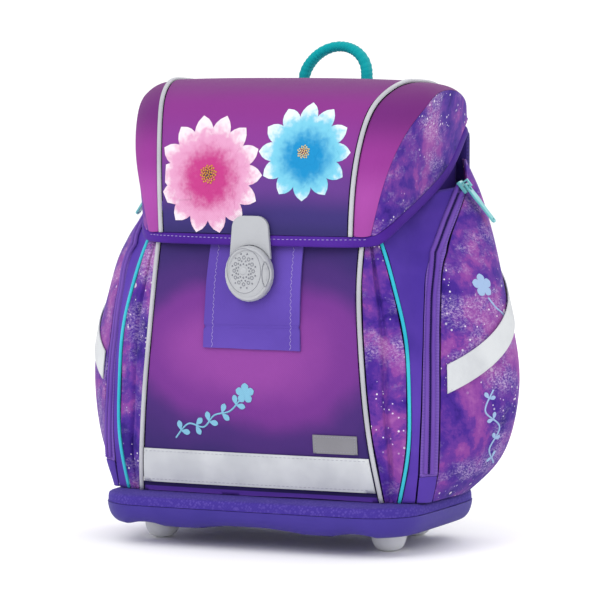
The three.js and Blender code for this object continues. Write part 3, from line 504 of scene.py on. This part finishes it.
def piping_material(name, deep, bright, roughness):
    """Smooth piping: a satin cover over a round cord, with fine cross ribs."""
    return cloth_material(
        name, plain_dye(deep, bright), threads=5200.0, roughness=roughness, sheen=0.05, fold=0.1,
    )


grey_piping = piping_material("reflective piping", "#b9bac2", "#cfd0d6", 0.42)
turquoise_piping = piping_material("turquoise piping", "#22b4cf", "#46d0e0", 0.45)
grey_pipings = both_sides("front_piping") + both_sides("flap_piping")
dress(grey_pipings, 2, "grey_piping", grey_piping, swell=0.00028, rim_angle=75)
dress(both_sides("side_piping"), 2, "turquoise_piping", turquoise_piping, swell=0.00022, rim_angle=75)


# Sewn on the front: a reflective strip, a bare rubber label and the violet closure tab behind the clasp.
# The tab is held by two rows of zigzag stitches; strip and label have straight rows along their edges.
def on_surface(tree, start, direction):
    """Where a line from a start meets the surface, and the surface's direction there."""
    place, normal, _, _ = tree.ray_cast(Vector(start), Vector(direction).normalized())
    if place is None:
        place, normal, _, _ = tree.find_nearest(Vector(start))
    if normal.dot(Vector(direction)) > 0:
        normal = -normal
    return place, normal


def stitch_row(mesh, path, length, thick, spare, turn=None):
    """Sew single stitches along a path of places and directions: each is a small grain of thread."""
    travelled = 0.0
    due = spare / 2
    count = 0
    for (place, normal), (further, _) in zip(path, path[1:]):
        step = (further - place).length
        while step and travelled + step > due:
            at = place.lerp(further, (due - travelled) / step)
            along = (further - place).normalized()
            if turn:
                along = Matrix.Rotation(turn if count % 2 else -turn, 3, normal) @ along
            side = normal.cross(along).normalized()
            frame_of = Matrix((along, side, normal)).transposed().to_4x4()
            frame_of.translation = at + normal * thick * 0.15
            size = Matrix.Diagonal((length / 2, thick / 2, thick / 2, 1))
            stitch = frame_of @ size @ Matrix.Rotation(math.pi / 2, 4, "Y")
            bmesh.ops.create_uvsphere(mesh, u_segments=6, v_segments=4, radius=1, matrix=stitch)
            due += length + spare
            count += 1
        travelled += step


def thread_material(name, colour):
    """Polyester thread: light, slightly glossy, with a twist along it."""
    def colour_of(tree, where):
        twist = shader_node(tree, "ShaderNodeTexWave", {"Vector": where, "Scale": 900.0, "Distortion": 1.0})
        amount = math_node(tree, "MULTIPLY", twist.outputs["Fac"], 0.2)
        return mixed_colour(tree, amount, dyed(colour), dyed("#6a4ba8"))
    return cloth_material(name, colour_of, threads=6000.0, roughness=0.5, sheen=0.1, fold=0.0)


lilac_thread = thread_material("lilac thread", "#b7a6e4")
grey_thread = thread_material("grey thread", "#a5a6b2")
front_tree = surface_tree(front)


def front_line(tree, points, count=60):
    """A path over the front, from a line of points given across and up."""
    path = []
    spans = len(points) - 1
    for n in range(count * spans + 1):
        span = min(n // count, spans - 1)
        part = n / count - span
        x = points[span][0] * (1 - part) + points[span + 1][0] * part
        z = points[span][1] * (1 - part) + points[span + 1][1] * part
        path.append(on_surface(tree, (x, -0.3, z), (0, 1, 0)))
    return path


def reflective_cloth_colour(tree, where):
    """Silver glass-bead cloth: light grey with slight unevenness."""
    return colour_steps(tree, cloudy(tree, where, 30.0, 4.0), [(0.3, "#cfd2d7"), (0.7, "#e2e5e8")])


reflective_cloth = cloth_material(
    "reflective cloth", reflective_cloth_colour, threads=4200.0, roughness=0.4, sheen=0.0, fold=0.5,
)
strip = dress(["front_reflective_strip"], 2, "reflective_cloth", reflective_cloth)[0]
label_rubber = cloth_material(
    "label rubber", plain_dye("#86858b", "#95949a"), threads=5200.0, roughness=0.45, sheen=0.0,
)
label = dress(["front_label"], 3, "label_patch", label_rubber, rim_angle=60)[0]
tab_swell = soft_swell(amount=0.0006, size=30, seed=9)
crease_depth = 0.0009
crease_height = 0.181
crease_slant = 0.02
crease_half_width = 0.0016


def creased(point, normal):
    """The tab's low swells and the crease where it was folded."""
    off = point.z - crease_height - crease_slant * point.x
    crease = crease_depth * math.exp(-(off / crease_half_width) ** 2)
    return tab_swell(point, normal) - Vector(normal) * crease


tab = dress(["closure_tab"], 4, "violet_fabric", violet_cloth, soften=creased)[0]
tab_tree = surface_tree(tab)
tab_stitches = bmesh.new()
for side in (-1, 1):
    seam = front_line(tab_tree, [(side * 0.0348, 0.165), (side * 0.0333, 0.249)])
    stitch_row(tab_stitches, seam, length=0.0030, thick=0.0005, spare=-0.0004, turn=0.5)
added("tab_stitches", tab_stitches, lilac_thread)
strip_stitches = bmesh.new()
strip_tree = surface_tree(strip)
strip_reach = 0.0985
for height in (0.0522, 0.0760):
    seam = front_line(strip_tree, [(-strip_reach, height), (strip_reach, height)], 160)
    stitch_row(strip_stitches, seam, length=0.0026, thick=0.0004, spare=0.0012)
label_tree = surface_tree(label)
label_rim = [(0.0550, 0.0828), (0.0890, 0.0828), (0.0890, 0.0945), (0.0550, 0.0945), (0.0550, 0.0828)]
label_seam = front_line(label_tree, label_rim, 30)
stitch_row(strip_stitches, label_seam, length=0.0016, thick=0.0004, spare=0.0008)
added("strip_stitches", strip_stitches, grey_thread)


# Flap: a printed middle panel between grey pipings, a band over each shoulder, a galaxy wing down each side.
# A violet binding folds round its whole edge and is topstitched in light thread.
flap_print_low = 0.252
flap_print_high = 0.382


def flap_print(tree, where):
    """Plum at the crown, magenta below it, then violet, fading to indigo at the clasp."""
    up = lift_to_height(tree, where, flap_print_low, flap_print_high)
    drift = cloudy(tree, where, 7.0, 2.0)
    return colour_steps(tree, made_uneven(tree, up, drift, 0.10), [
        (0.00, "#352f68"), (0.14, "#41357a"), (0.34, "#6b3f92"), (0.58, "#8d3c98"),
        (0.82, "#8f3690"), (1.0, "#7d3d7f"),
    ])


def band_print(tree, where):
    """Plum at the crown, deep plum below it, then bright pink-magenta down to the binding."""
    up = lift_to_height(tree, where, flap_print_low, flap_print_high)
    return colour_steps(tree, up, [
        (0.00, "#a84aa5"), (0.25, "#ae4eab"), (0.50, "#9a3a98"), (0.78, "#762a7d"), (1.0, "#7a3a7c"),
    ])


flap_cloth = cloth_material("flap cloth", flap_print)
band_cloth = cloth_material("flap band cloth", band_print)
wing_cloth = cloth_material("flap wing cloth", galaxy_print(20.0, (0.3, 0.0, 0.12)))
flap_swell = soft_swell(amount=0.0006, size=12, seed=2)
flap = dress(["flap_panel"], 3, "flap_fabric", flap_cloth, soften=flap_swell)[0]
dress(both_sides("flap_band"), 3, "band_fabric", band_cloth)
dress(both_sides("flap_wing"), 3, "galaxy_fabric", wing_cloth)

binding_tape = cloth_material(
    "binding tape", plain_dye("#45198c", "#52269c"), threads=5000.0, roughness=0.7, fold=0.5,
)
binding = dress(["flap_binding"], 2, "binding_tape", binding_tape, swell=0.0002, rim_angle=75)[0]
binding_tree = surface_tree(binding)
binding_reach = 0.098
binding_seam_height = 0.2520
binding_seam_rise = 0.0010
binding_marks = 90


def binding_path(side):
    """The topstitching's path: along the front edge, from the middle to one side."""
    path = []
    for n in range(binding_marks):
        x = side * binding_reach * n / (binding_marks - 1)
        bend = abs(x) / binding_reach
        height = binding_seam_height + binding_seam_rise * bend ** 2
        path.append(on_surface(binding_tree, (x, -0.3, height), (0, 1, 0)))
    return path


binding_stitches = bmesh.new()
for side in (-1, 1):
    stitch_row(binding_stitches, binding_path(side), length=0.0024, thick=0.0006, spare=0.0014)
added("binding_stitches", binding_stitches, lilac_thread)


# Print on the flap and the pockets: plain garden flowers and vines in pink and blue.
# Each is a thin film of ink pressed on the cloth, so it follows the panel under it.
def ink_material(name, rim, heart, pale, centre, reach):
    """Printed ink: pale at a shape's rim and richer towards its heart, with soft hairlines."""
    def colour_of(tree, where):
        amount = glow(tree, where, centre, (reach, 0.5, reach))
        hairs = cloudy(tree, where, 160.0, 6.0, Roughness=0.7)
        uneven = made_uneven(tree, amount, hairs, 0.7)
        return colour_steps(tree, uneven, [(0.0, pale), (0.30, rim), (0.85, heart)])
    return cloth_material(name, colour_of, threads=3600.0, fold=0.2)


def pressed_place(tree, across, up, plane):
    """A print's point on the front or the right side, from its place across and up, and its direction."""
    if plane == "front":
        return on_surface(tree, (across, -0.4, up), (0, 1, 0))
    return on_surface(tree, (0.4, across, up), (-1, 0, 0))


def press_petal(mesh, tree, centre, angle, length, width, lift=0.0003, plane="front"):
    """Lay one petal on the cloth: a small grid shaped to the petal and pressed on the surface."""
    grid = bmesh.ops.create_grid(mesh, x_segments=10, y_segments=2, size=1)
    turn = math.radians(angle)
    for vert in grid["verts"]:
        out = (vert.co.x + 1) / 2
        half = width * math.sin(math.pi * min(out, 0.999) ** 1.5) ** 0.7
        along = length * out
        aside = vert.co.y * half
        across = centre[0] + along * math.cos(turn) - aside * math.sin(turn)
        up = centre[1] + along * math.sin(turn) + aside * math.cos(turn)
        place, normal = pressed_place(tree, across, up, plane)
        vert.co = place + normal * lift
    film = list({face for vert in grid["verts"] for face in vert.link_faces})
    bmesh.ops.recalc_face_normals(mesh, faces=film)
    bmesh.ops.solidify(mesh, geom=film, thickness=0.0002)


def press_flower(name, tree, centre, rings, material):
    """A flower of several rings of petals, the upper rings smaller and half a petal on."""
    mesh = bmesh.new()
    for level, (count, inner, length, width) in enumerate(rings):
        for n in range(count):
            angle = 360 * (n + 0.5 * (level % 2)) / count + 11 * level
            turn = math.radians(angle)
            foot = (centre[0] + inner * math.cos(turn), centre[1] + inner * math.sin(turn))
            lift = 0.00025 + 0.00012 * level + 0.00003 * (n % 3)
            press_petal(mesh, tree, foot, angle, length, width, lift)
    bmesh.ops.recalc_face_normals(mesh, faces=mesh.faces)
    added(name, mesh, material)


flap_tree = surface_tree(flap)
pink_flower_place = (-0.040, 0.303)
blue_flower_place = (0.043, 0.322)
pink_ink = ink_material("pink flower ink", "#e9a6cd", "#c8408c", "#fbeef6", (-0.040, -0.08, 0.300), 0.052)
blue_ink = ink_material("blue flower ink", "#7fd2ec", "#1b93cf", "#eefaff", (0.045, -0.08, 0.318), 0.044)
press_flower("pink_flower_print", flap_tree, pink_flower_place, [
    (14, 0.010, 0.038, 0.0085), (14, 0.008, 0.030, 0.0075),
    (12, 0.006, 0.022, 0.0062), (9, 0.003, 0.014, 0.0048),
], pink_ink)
press_flower("blue_flower_print", flap_tree, blue_flower_place, [
    (12, 0.008, 0.031, 0.0075), (12, 0.006, 0.024, 0.0065),
    (10, 0.004, 0.017, 0.0052), (7, 0.002, 0.011, 0.0042),
], blue_ink)
seed_ink = ink_material("seed ink", "#e9bd62", "#dba043", "#f3dc9e", (-0.040, -0.08, 0.303), 0.1)
golden_angle = 2.39996
seeds = bmesh.new()
for centre, spread, count in ((pink_flower_place, 0.0011, 46), (blue_flower_place, 0.0009, 34)):
    for n in range(count):
        out = spread * math.sqrt(n + 0.5)
        angle = golden_angle * n
        across = centre[0] + out * math.cos(angle)
        up = centre[1] + out * math.sin(angle)
        place, normal = on_surface(flap_tree, (across, -0.3, up), (0, 1, 0))
        lift = Matrix.Translation(place + normal * 0.0007)
        bmesh.ops.create_uvsphere(seeds, u_segments=8, v_segments=5, radius=0.75 * spread, matrix=lift)
added("flower_seeds_print", seeds, seed_ink, 80)


def ribbed_tube(mesh, path, radius, ribs=0.0, aside=0.0, lift=0.0, closed=False):
    """A cord along a path, set aside and lifted from it; every second ring swells by its ribs' share."""
    rings = []
    last = len(path) - 1
    for n, (place, normal) in enumerate(path):
        before = path[(n - 1) % (last + 1) if closed else max(n - 1, 0)][0]
        after = path[(n + 1) % (last + 1) if closed else min(n + 1, last)][0]
        along = (after - before).normalized()
        side = normal.cross(along).normalized()
        circle = bmesh.ops.create_circle(mesh, segments=8, radius=radius * (1 + ribs * (n % 2)))["verts"]
        turned = Matrix((side, normal, along)).transposed().to_4x4()
        turned.translation = place + side * aside + normal * lift
        bmesh.ops.transform(mesh, matrix=turned, verts=circle)
        rings.append(list({edge for vert in circle for edge in vert.link_edges}))
    for lower, upper in zip(rings, rings[1:]):
        bmesh.ops.bridge_loops(mesh, edges=lower + upper)
    if closed:
        bmesh.ops.bridge_loops(mesh, edges=rings[-1] + rings[0])
    else:
        bmesh.ops.contextual_create(mesh, geom=rings[0])
        bmesh.ops.contextual_create(mesh, geom=rings[-1])
    bmesh.ops.recalc_face_normals(mesh, faces=mesh.faces)


def curve_point(before, start, end, after, part):
    """A point on the smooth curve from start to end, between the points before and after them."""
    return [
        0.5 * (
            2 * here + (there - back) * part
            + (2 * back - 5 * here + 4 * there - on) * part ** 2
            + (3 * here - back - 3 * there + on) * part ** 3
        )
        for back, here, there, on in zip(before, start, end, after)
    ]


def press_vine(mesh, tree, points, leaf, plane="front"):
    """A drawn vine: one line that curls through its points, with a pair of leaves between every two."""
    steps = 10
    path = []
    for n in range(len(points) - 1):
        before, start = points[max(n - 1, 0)], points[n]
        end, after = points[n + 1], points[min(n + 2, len(points) - 1)]
        for step in range(steps):
            spot = curve_point(before, start, end, after, step / steps)
            path.append(pressed_place(tree, spot[0], spot[1], plane))
            if leaf and step == steps // 2:
                heading = math.degrees(math.atan2(end[1] - start[1], end[0] - start[0]))
                for turn in (-55, 55):
                    press_petal(mesh, tree, spot, heading + turn, leaf, 0.28 * leaf, plane=plane)
    ribbed_tube(mesh, path, 0.00075)


def press_blossom(mesh, tree, centre, length, width, plane="front"):
    """Five equal petals round a point."""
    for n in range(5):
        press_petal(mesh, tree, centre, 90 + 72 * n, length, width, plane=plane)


# Sides: a plain violet panel, then a zip that runs round a swelling galaxy pocket.
# The zip's tapes show their covered coil, with a near-black cord in its middle gap as painted shadow; a patch
# closes its lower end, a reflective strip climbs the pocket.
zip_seam = [
    (0.114, 1.081, -0.566), (0.176, 1.105, -0.595), (0.316, 1.103, -0.559), (0.442, 1.085, -0.503),
    (0.547, 1.065, -0.411), (0.634, 1.051, -0.288), (0.700, 1.046, 0.045), (0.774, 1.031, 0.470),
]
body_height = 0.380
body_half_width = 0.130
body_half_depth = 0.088


def seam_shares(height):
    """The zip seam's shares of the body's half width and half depth, straight between its marks."""
    up = height / body_height
    row = max(at for at in range(len(zip_seam) - 1) if zip_seam[at][0] <= up or at == 0)
    low, high = zip_seam[row], zip_seam[row + 1]
    part = (up - low[0]) / (high[0] - low[0])
    return low[1] + part * (high[1] - low[1]), low[2] + part * (high[2] - low[2])


def seam_depth(height, fair):
    """The zip seam's depth at a height: straight between its marks, or eased over a stretch of the seam."""
    if fair:
        reach = 0.015
        pulls = [(n * reach / 2, math.exp(-n * n / 8)) for n in range(-5, 6)]
        total = sum(weight for _, weight in pulls)
        return sum(weight * seam_depth(height + along, False) for along, weight in pulls) / total
    return body_half_depth * seam_shares(height)[1] - middle_ahead


zip_ease_reach = 0.03


def beside_zip(wavy):
    """Cloth beside the zip follows the seam's fair curve; further off it keeps its own swell."""
    def move(point, normal):
        shift = seam_depth(point.z, True) - seam_depth(point.z, False)
        away = (point.y - seam_depth(point.z, False)) / zip_ease_reach
        return Vector((0, shift * math.exp(-away ** 2), 0)) + (wavy(point, normal) if wavy else Vector())
    return move


pocket_cloth = cloth_material("side pocket cloth", galaxy_print(20.0, (0.0, 0.07, 0.02)), fold=0.7)
side_cloth = cloth_material("side panel cloth", plain_dye("#492f9a", "#6141b4"), fold=0.8)
dress(both_sides("side_panel"), 3, "violet_fabric", side_cloth, soften=beside_zip(None))
pocket_swell = beside_zip(soft_swell(amount=0.0012, size=20, seed=4))
pockets = dress(both_sides("side_pocket"), 3, "galaxy_fabric", pocket_cloth, soften=pocket_swell)


def tape_colour(tree, where):
    """Zip tape: violet with fine rows across it."""
    rows = shader_node(tree, "ShaderNodeTexWave", {"Vector": where, "Scale": 260.0}, bands_direction="Z")
    return colour_steps(tree, rows.outputs["Fac"], [(0.2, "#6747ad"), (0.8, "#8c69c4")])


def zip_line(side, height_low, height_high, count):
    """The zip's middle line up one side, pressed on its tape, as places and directions."""
    tree = surface_tree(bpy.data.objects[f"zip_tape_{side}_cloth"])
    sign = 1 if side == "right" else -1
    path = []
    for n in range(count):
        height = height_low + (height_high - height_low) * n / (count - 1)
        x = sign * body_half_width * seam_shares(height)[0]
        start = (x + sign * 0.02, seam_depth(height, True) - 0.014, height)
        path.append(on_surface(tree, start, (-sign * 0.82, 0.57, 0)))
    return path


zip_cloth = cloth_material("zip tape cloth", tape_colour, threads=4200.0, fold=0.2)
patch_cloth = cloth_material("zip end patch cloth", plain_dye("#5238a0", "#5e42b0"), fold=0.3)
dress(both_sides("zip_tape"), 3, "zip_tape", zip_cloth, soften=beside_zip(None))
coil_cloth = cloth_material("zip coil cover", plain_dye("#6a45ac", "#7d58b9"), threads=4200.0, fold=0.1)
# A near-black cord laid in the gap between the two coil covers: painted shadow in the groove between them.
gap_shadow_cloth = cloth_material("zip gap painted shadow", plain_dye("#1d0f4e", "#251560"), threads=4200.0, fold=0.1)
for side in ("right", "left"):
    line = zip_line(side, height_low=0.066, height_high=0.291, count=240)
    covers = bmesh.new()
    for aside in (0.0026, -0.0026):
        ribbed_tube(covers, line, radius=0.0017, ribs=0.25, aside=aside, lift=0.0004)
    added(f"zip_cover_{side}", covers, coil_cloth, 80)
    # The dark cord down the coil's middle gap: painted shadow.
    gap_shadow_cord = bmesh.new()
    ribbed_tube(gap_shadow_cord, line[::6], radius=0.0009, lift=0.0002)
    added(f"zip_gap_shadow_{side}", gap_shadow_cord, gap_shadow_cloth, 80)
dress(both_sides("zip_end_patch"), 3, "zip_tape", patch_cloth)
dress(both_sides("pocket_strip"), 2, "reflective_cloth", reflective_cloth)


# Vines on the front pocket and the right side pocket: a curling line in pale blue ink with a small flower.
vine_ink = ink_material("pale blue ink", "#8fb4e4", "#86c3e0", "#a9c4ea", (0.0, -0.08, 0.1), 0.2)
front_vine = bmesh.new()
press_vine(front_vine, front_tree, [
    (-0.070, 0.088), (-0.058, 0.100), (-0.044, 0.098), (-0.034, 0.108), (-0.020, 0.112), (-0.010, 0.122),
], leaf=0.0085)
press_blossom(front_vine, front_tree, (-0.006, 0.127), length=0.0085, width=0.0032)
bmesh.ops.recalc_face_normals(front_vine, faces=front_vine.faces)
added("front_vine_print", front_vine, vine_ink, 80)
pocket_vine = bmesh.new()
pocket_tree = surface_tree(pockets[0])
press_vine(pocket_vine, pocket_tree, [
    (-0.002, 0.070), (-0.018, 0.082), (-0.012, 0.100), (-0.028, 0.114), (-0.020, 0.132),
], leaf=0.0062, plane="right")
press_blossom(pocket_vine, pocket_tree, (-0.012, 0.214), length=0.0095, width=0.0036, plane="right")
flower_stem = [(-0.010, 0.204), (-0.004, 0.196), (0.004, 0.190), (0.008, 0.182)]
press_vine(pocket_vine, pocket_tree, flower_stem, leaf=0, plane="right")
added("pocket_vine_print", pocket_vine, vine_ink, 80)


# Zip sliders and pulls: mint enamel over a die casting, their edges rounded by the tumbling drum.
def cast_copy(node_name, ease, segments=2, corner_angle=30):
    """A copy of a hard piece with its flats made whole and its edges rounded."""
    mesh = joined_copy(node_name)
    bmesh.ops.dissolve_limit(mesh, angle_limit=math.radians(1), verts=mesh.verts, edges=mesh.edges)
    edges = [edge for edge in mesh.edges if edge.calc_face_angle(0) > math.radians(corner_angle)]
    bmesh.ops.bevel(
        mesh, geom=edges, offset=ease, segments=segments, profile=0.5,
        affect="EDGES", material=-1, clamp_overlap=True,
    )
    return as_object(f"{node_name}_finished", mesh, 40)


def enamel_material(name, colour, dark, roughness):
    """Satin paint on metal or moulded plastic: even colour drifting a little towards a darker tone, and fine
    grain.
    """
    material, tree, coat, where = new_material(name)
    speck = cloudy(tree, where, 340.0, 4.0)
    base = colour_steps(tree, cloudy(tree, where, 20.0, 2.0), [(0.25, dark), (0.7, colour)])
    tree.links.new(base, coat.inputs["Base Color"])
    grain = shader_node(tree, "ShaderNodeBump", {"Height": speck, "Strength": 0.25, "Distance": 0.0003})
    tree.links.new(grain.outputs["Normal"], coat.inputs["Normal"])
    uneven = math_node(tree, "MULTIPLY_ADD", speck, 0.12, roughness - 0.06)
    tree.links.new(uneven, coat.inputs["Roughness"])
    return material


mint_enamel = enamel_material("mint enamel", "#74c9cd", "#5fb9bf", 0.35)
pull_widening = 0.3
for side in ("right", "left"):
    slider = cast_copy(f"zip_slider_{side}", ease=0.0003)
    finished(slider, [f"zip_slider_{side}"], "bag", mint_enamel)
    pull = cast_copy(f"zip_pull_{side}", ease=0.0003)
    pull_low, pull_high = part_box(f"zip_pull_{side}")
    pull_middle = (pull_low.y + pull_high.y) / 2
    move_points(pull, lambda point, normal: Vector((0, pull_widening * (point.y - pull_middle), 0)))
    finished(pull, [f"zip_pull_{side}"], f"pull_{side}", mint_enamel)


# Clasp: two light grey mouldings. The plate is riveted to the flap; the round housing holds the catch.
# The housing's face has a raised rim, a button and a rosette of dots and rings; an oval line marks the finger
# recess at its side. Rim, rosette and recess line are in a darker grey than the moulding: painted shade of
# the relief.
clasp_plastic = enamel_material("clasp plastic", "#b9bbc0", "#b2b4ba", 0.42)
# Darker grey for the rosette's dots and rings, the rim line and the recess line: painted shade of the moulded
# relief.
clasp_relief_painted_shade = enamel_material("clasp relief painted shade", "#878992", "#80828b", 0.5)
housing_low, housing_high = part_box("clasp_housing")
housing_centre = (housing_low + housing_high) / 2
housing = cast_copy("clasp_housing", ease=0.0004, segments=3, corner_angle=25)
finished(housing, ["clasp_housing"], "bag", clasp_plastic)
plate = cast_copy("clasp_plate", ease=0.0008, segments=3, corner_angle=25)
finished(plate, ["clasp_plate"], "bag", clasp_plastic)
housing_tree = surface_tree(housing)
button_across = housing_centre.x - 0.0030
button_up = housing_centre.z + 0.0022


def on_face(across, up):
    """A place on the housing's face and its direction, from an offset to the button."""
    return on_surface(housing_tree, (button_across + across, -0.3, button_up + up), (0, 1, 0))


def face_oval(mesh, across, up, half_across, half_up, line, count):
    """A raised oval line on the face, round an offset to the button."""
    path = []
    for n in range(count):
        angle = 2 * math.pi * n / count
        path.append(on_face(across + half_across * math.cos(angle), up + half_up * math.sin(angle)))
    ribbed_tube(mesh, path, line, closed=True)


rosette = bmesh.new()
rosette_count = 12
for reach, squeeze, offset in ((0.0054, 1.0, 0.0), (0.0080, 0.86, 15.0), (0.0140, 0.76, 15.0)):
    for n in range(rosette_count):
        angle = math.radians(360 * n / rosette_count + offset)
        place, normal = on_face(squeeze * reach * math.cos(angle), reach * math.sin(angle))
        dot = Matrix.Translation(place)
        bmesh.ops.create_uvsphere(rosette, u_segments=10, v_segments=6, radius=0.00075, matrix=dot)
ring_reach = 0.0108
ring_squeeze = 0.8
ring_radius = 0.0013
for n in range(rosette_count):
    angle = math.radians(360 * n / rosette_count)
    across = ring_squeeze * ring_reach * math.cos(angle)
    up = ring_reach * math.sin(angle)
    face_oval(rosette, across, up, 0.9 * ring_radius, ring_radius, line=0.00034, count=14)
face_oval(rosette, 0.0, 0.0, half_across=0.0148, half_up=0.0180, line=0.00022, count=60)
# An oval line in the darker grey where the finger recess is: painted shade that stands in for the recess,
# which is not cut.
face_oval(rosette, 0.0188, -0.0022, half_across=0.0030, half_up=0.0100, line=0.0004, count=36)
added("clasp_rosette", rosette, clasp_relief_painted_shade, 80)
button = bmesh.new()
bmesh.ops.create_uvsphere(button, u_segments=32, v_segments=16, radius=1)
bmesh.ops.scale(button, vec=(0.0033, 0.0012, 0.0032), verts=button.verts)
bmesh.ops.translate(button, vec=on_face(0, 0)[0], verts=button.verts)
added("clasp_button", button, clasp_plastic, 60)


# Base: a moulded tray with a scalloped lower edge, a coarse woven band stitched round its rim, and four feet.
tray_half_width = 0.14
scallop_top = 0.0275
scallop_fade = 0.0125
arch_rise = 0.0038
side_arch_rise = 0.0030


def scalloped(point, normal):
    """Raise the tray's lower edge into a middle arch with a bump and a small arch at each side."""
    low = faded_in(scallop_top - point.z, scallop_fade)
    aside = abs(point.x) / tray_half_width
    arch = arch_rise * max(0.0, 1 - (aside / 0.30) ** 4)
    small = side_arch_rise * max(0.0, 1 - ((aside - 0.66) / 0.13) ** 2)
    return Vector((0, 0, low * (arch + small)))


tray_plastic = enamel_material("tray plastic", "#47379a", "#3e3090", 0.55)
tray_plastic.node_tree.nodes["Principled BSDF"].inputs["Specular IOR Level"].default_value = 0.2
dress(["base_tray"], 3, "tray_plastic", tray_plastic, rim_angle=60, soften=scalloped)


def band_colour(tree, where):
    """Coarse woven tape: violet with small pale floats."""
    floats = shader_node(tree, "ShaderNodeTexVoronoi", {"Vector": where, "Scale": 420.0})
    return colour_steps(tree, floats.outputs["Distance"], [(0.1, "#5c49ab"), (0.6, "#46349a")])


band_cloth_tape = cloth_material("base band tape", band_colour, threads=2600.0, depth=1.0, fold=0.2)
dress(["base_band"], 2, "tray_band", band_cloth_tape, rim_angle=60)
foot_plastic = enamel_material("foot plastic", "#f4f5f7", "#e6e8ec", 0.5)
dress(both_sides("foot_front") + both_sides("foot_back"), 3, "foot_plastic", foot_plastic, rim_angle=60)


# Back: a padded panel quilted into channels under spacer mesh, hidden in the photograph and finished plainly.
def mesh_colour(tree, where):
    """Spacer mesh: dark violet with rows of small open cells, each cell darker towards its middle as painted
    shade in the hole.
    """
    cells = shader_node(tree, "ShaderNodeTexVoronoi", {"Vector": where, "Scale": 330.0, "Randomness": 0.15})
    # Darker towards each cell's middle: painted shade inside the open cells.
    return colour_steps(tree, cells.outputs["Distance"], [(0.15, "#1c1244"), (0.45, "#3b2a7c")])


spacer_mesh = cloth_material("spacer mesh", mesh_colour, threads=2400.0, depth=1.0, fold=0.2)


def padded_copy(node_name, voxel, soften):
    """A remeshed copy of a pad, fine enough to take its sewn channels."""
    obj = as_object(f"{node_name}_padding", joined_copy(node_name))
    cells = obj.modifiers.new("cells", "REMESH")
    cells.mode = "VOXEL"
    cells.voxel_size = voxel
    apply_modifiers(obj)
    move_points(obj, soften)
    shade(obj, 60)
    return obj


back_low, back_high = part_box("back_panel")
channel_depth = 0.0035
gully_half_width = 0.016
seam_half_width = 0.004
edge_margin = 0.012
row_start = 0.075
row_spacing = 0.052


def quilted(point, normal):
    """Sink the sewn channels: a margin round the edge, a middle gully and rows across each side."""
    if normal.y < 0.2:
        return Vector((0, 0, 0))
    aside = abs(point.x)
    edge = min(point.z - back_low.z, back_high.z - point.z, back_high.x - aside)
    gully = math.exp(-(aside / gully_half_width) ** 2)
    rim = math.exp(-((edge - edge_margin) / seam_half_width) ** 2)
    off_row = (point.z - row_start) % row_spacing - row_spacing / 2
    across = math.exp(-(off_row / seam_half_width) ** 2) if 0.02 < aside < 0.105 else 0.0
    return Vector((0, -channel_depth * max(gully, rim, across), 0))


back_copy = padded_copy("back_panel", voxel=0.003, soften=quilted)
back_pad = finished(back_copy, ["back_panel"], "bag", spacer_mesh)


# Straps: foam straps under the same mesh, flat webbing below them, and moulded adjusters.
# The handle is a soft core in a woven teal sleeve.
strap_sink = 0.0006


def strap_swell(point, normal):
    """A strap's padding, sunk a little and unevenly under its mesh."""
    return Vector(normal) * -strap_sink * abs(noise.noise(Vector(point) * 40))


shoulder_straps = both_sides("shoulder_strap")
straps = dress(shoulder_straps, 3, "back_padding", spacer_mesh, rim_angle=80, soften=strap_swell)
webbing_dye = plain_dye("#2e1f74", "#3a2a86")
webbing = cloth_material("strap webbing", webbing_dye, threads=2400.0, depth=1.2, fold=0.1)
dress(both_sides("strap_web"), 2, "strap_webbing", webbing)
adjuster_plastic = enamel_material("adjuster plastic", "#3b2c80", "#33266f", 0.4)
for node_name in both_sides("strap_adjuster"):
    finished(cast_copy(node_name, ease=0.0008), [node_name], "bag", adjuster_plastic)
handle_middle = 0.378
wrinkle_height = 0.00018
wrinkle_rate = 46


def handle_folds(point, normal):
    """The sleeve's soft wrinkles, across the bend."""
    turn = math.atan2(point.z - handle_middle, point.x)
    return Vector(normal) * wrinkle_height * math.sin(turn * wrinkle_rate + 3 * math.sin(turn * 5))


sleeve_dye = plain_dye("#009aa2", "#03aeb4")
sleeve_cloth = cloth_material("handle sleeve", sleeve_dye, threads=3000.0, depth=1.0, fold=0.7)
dress(["handle"], 3, "teal_webbing", sleeve_cloth, swell=0.0004, rim_angle=80, soften=handle_folds)
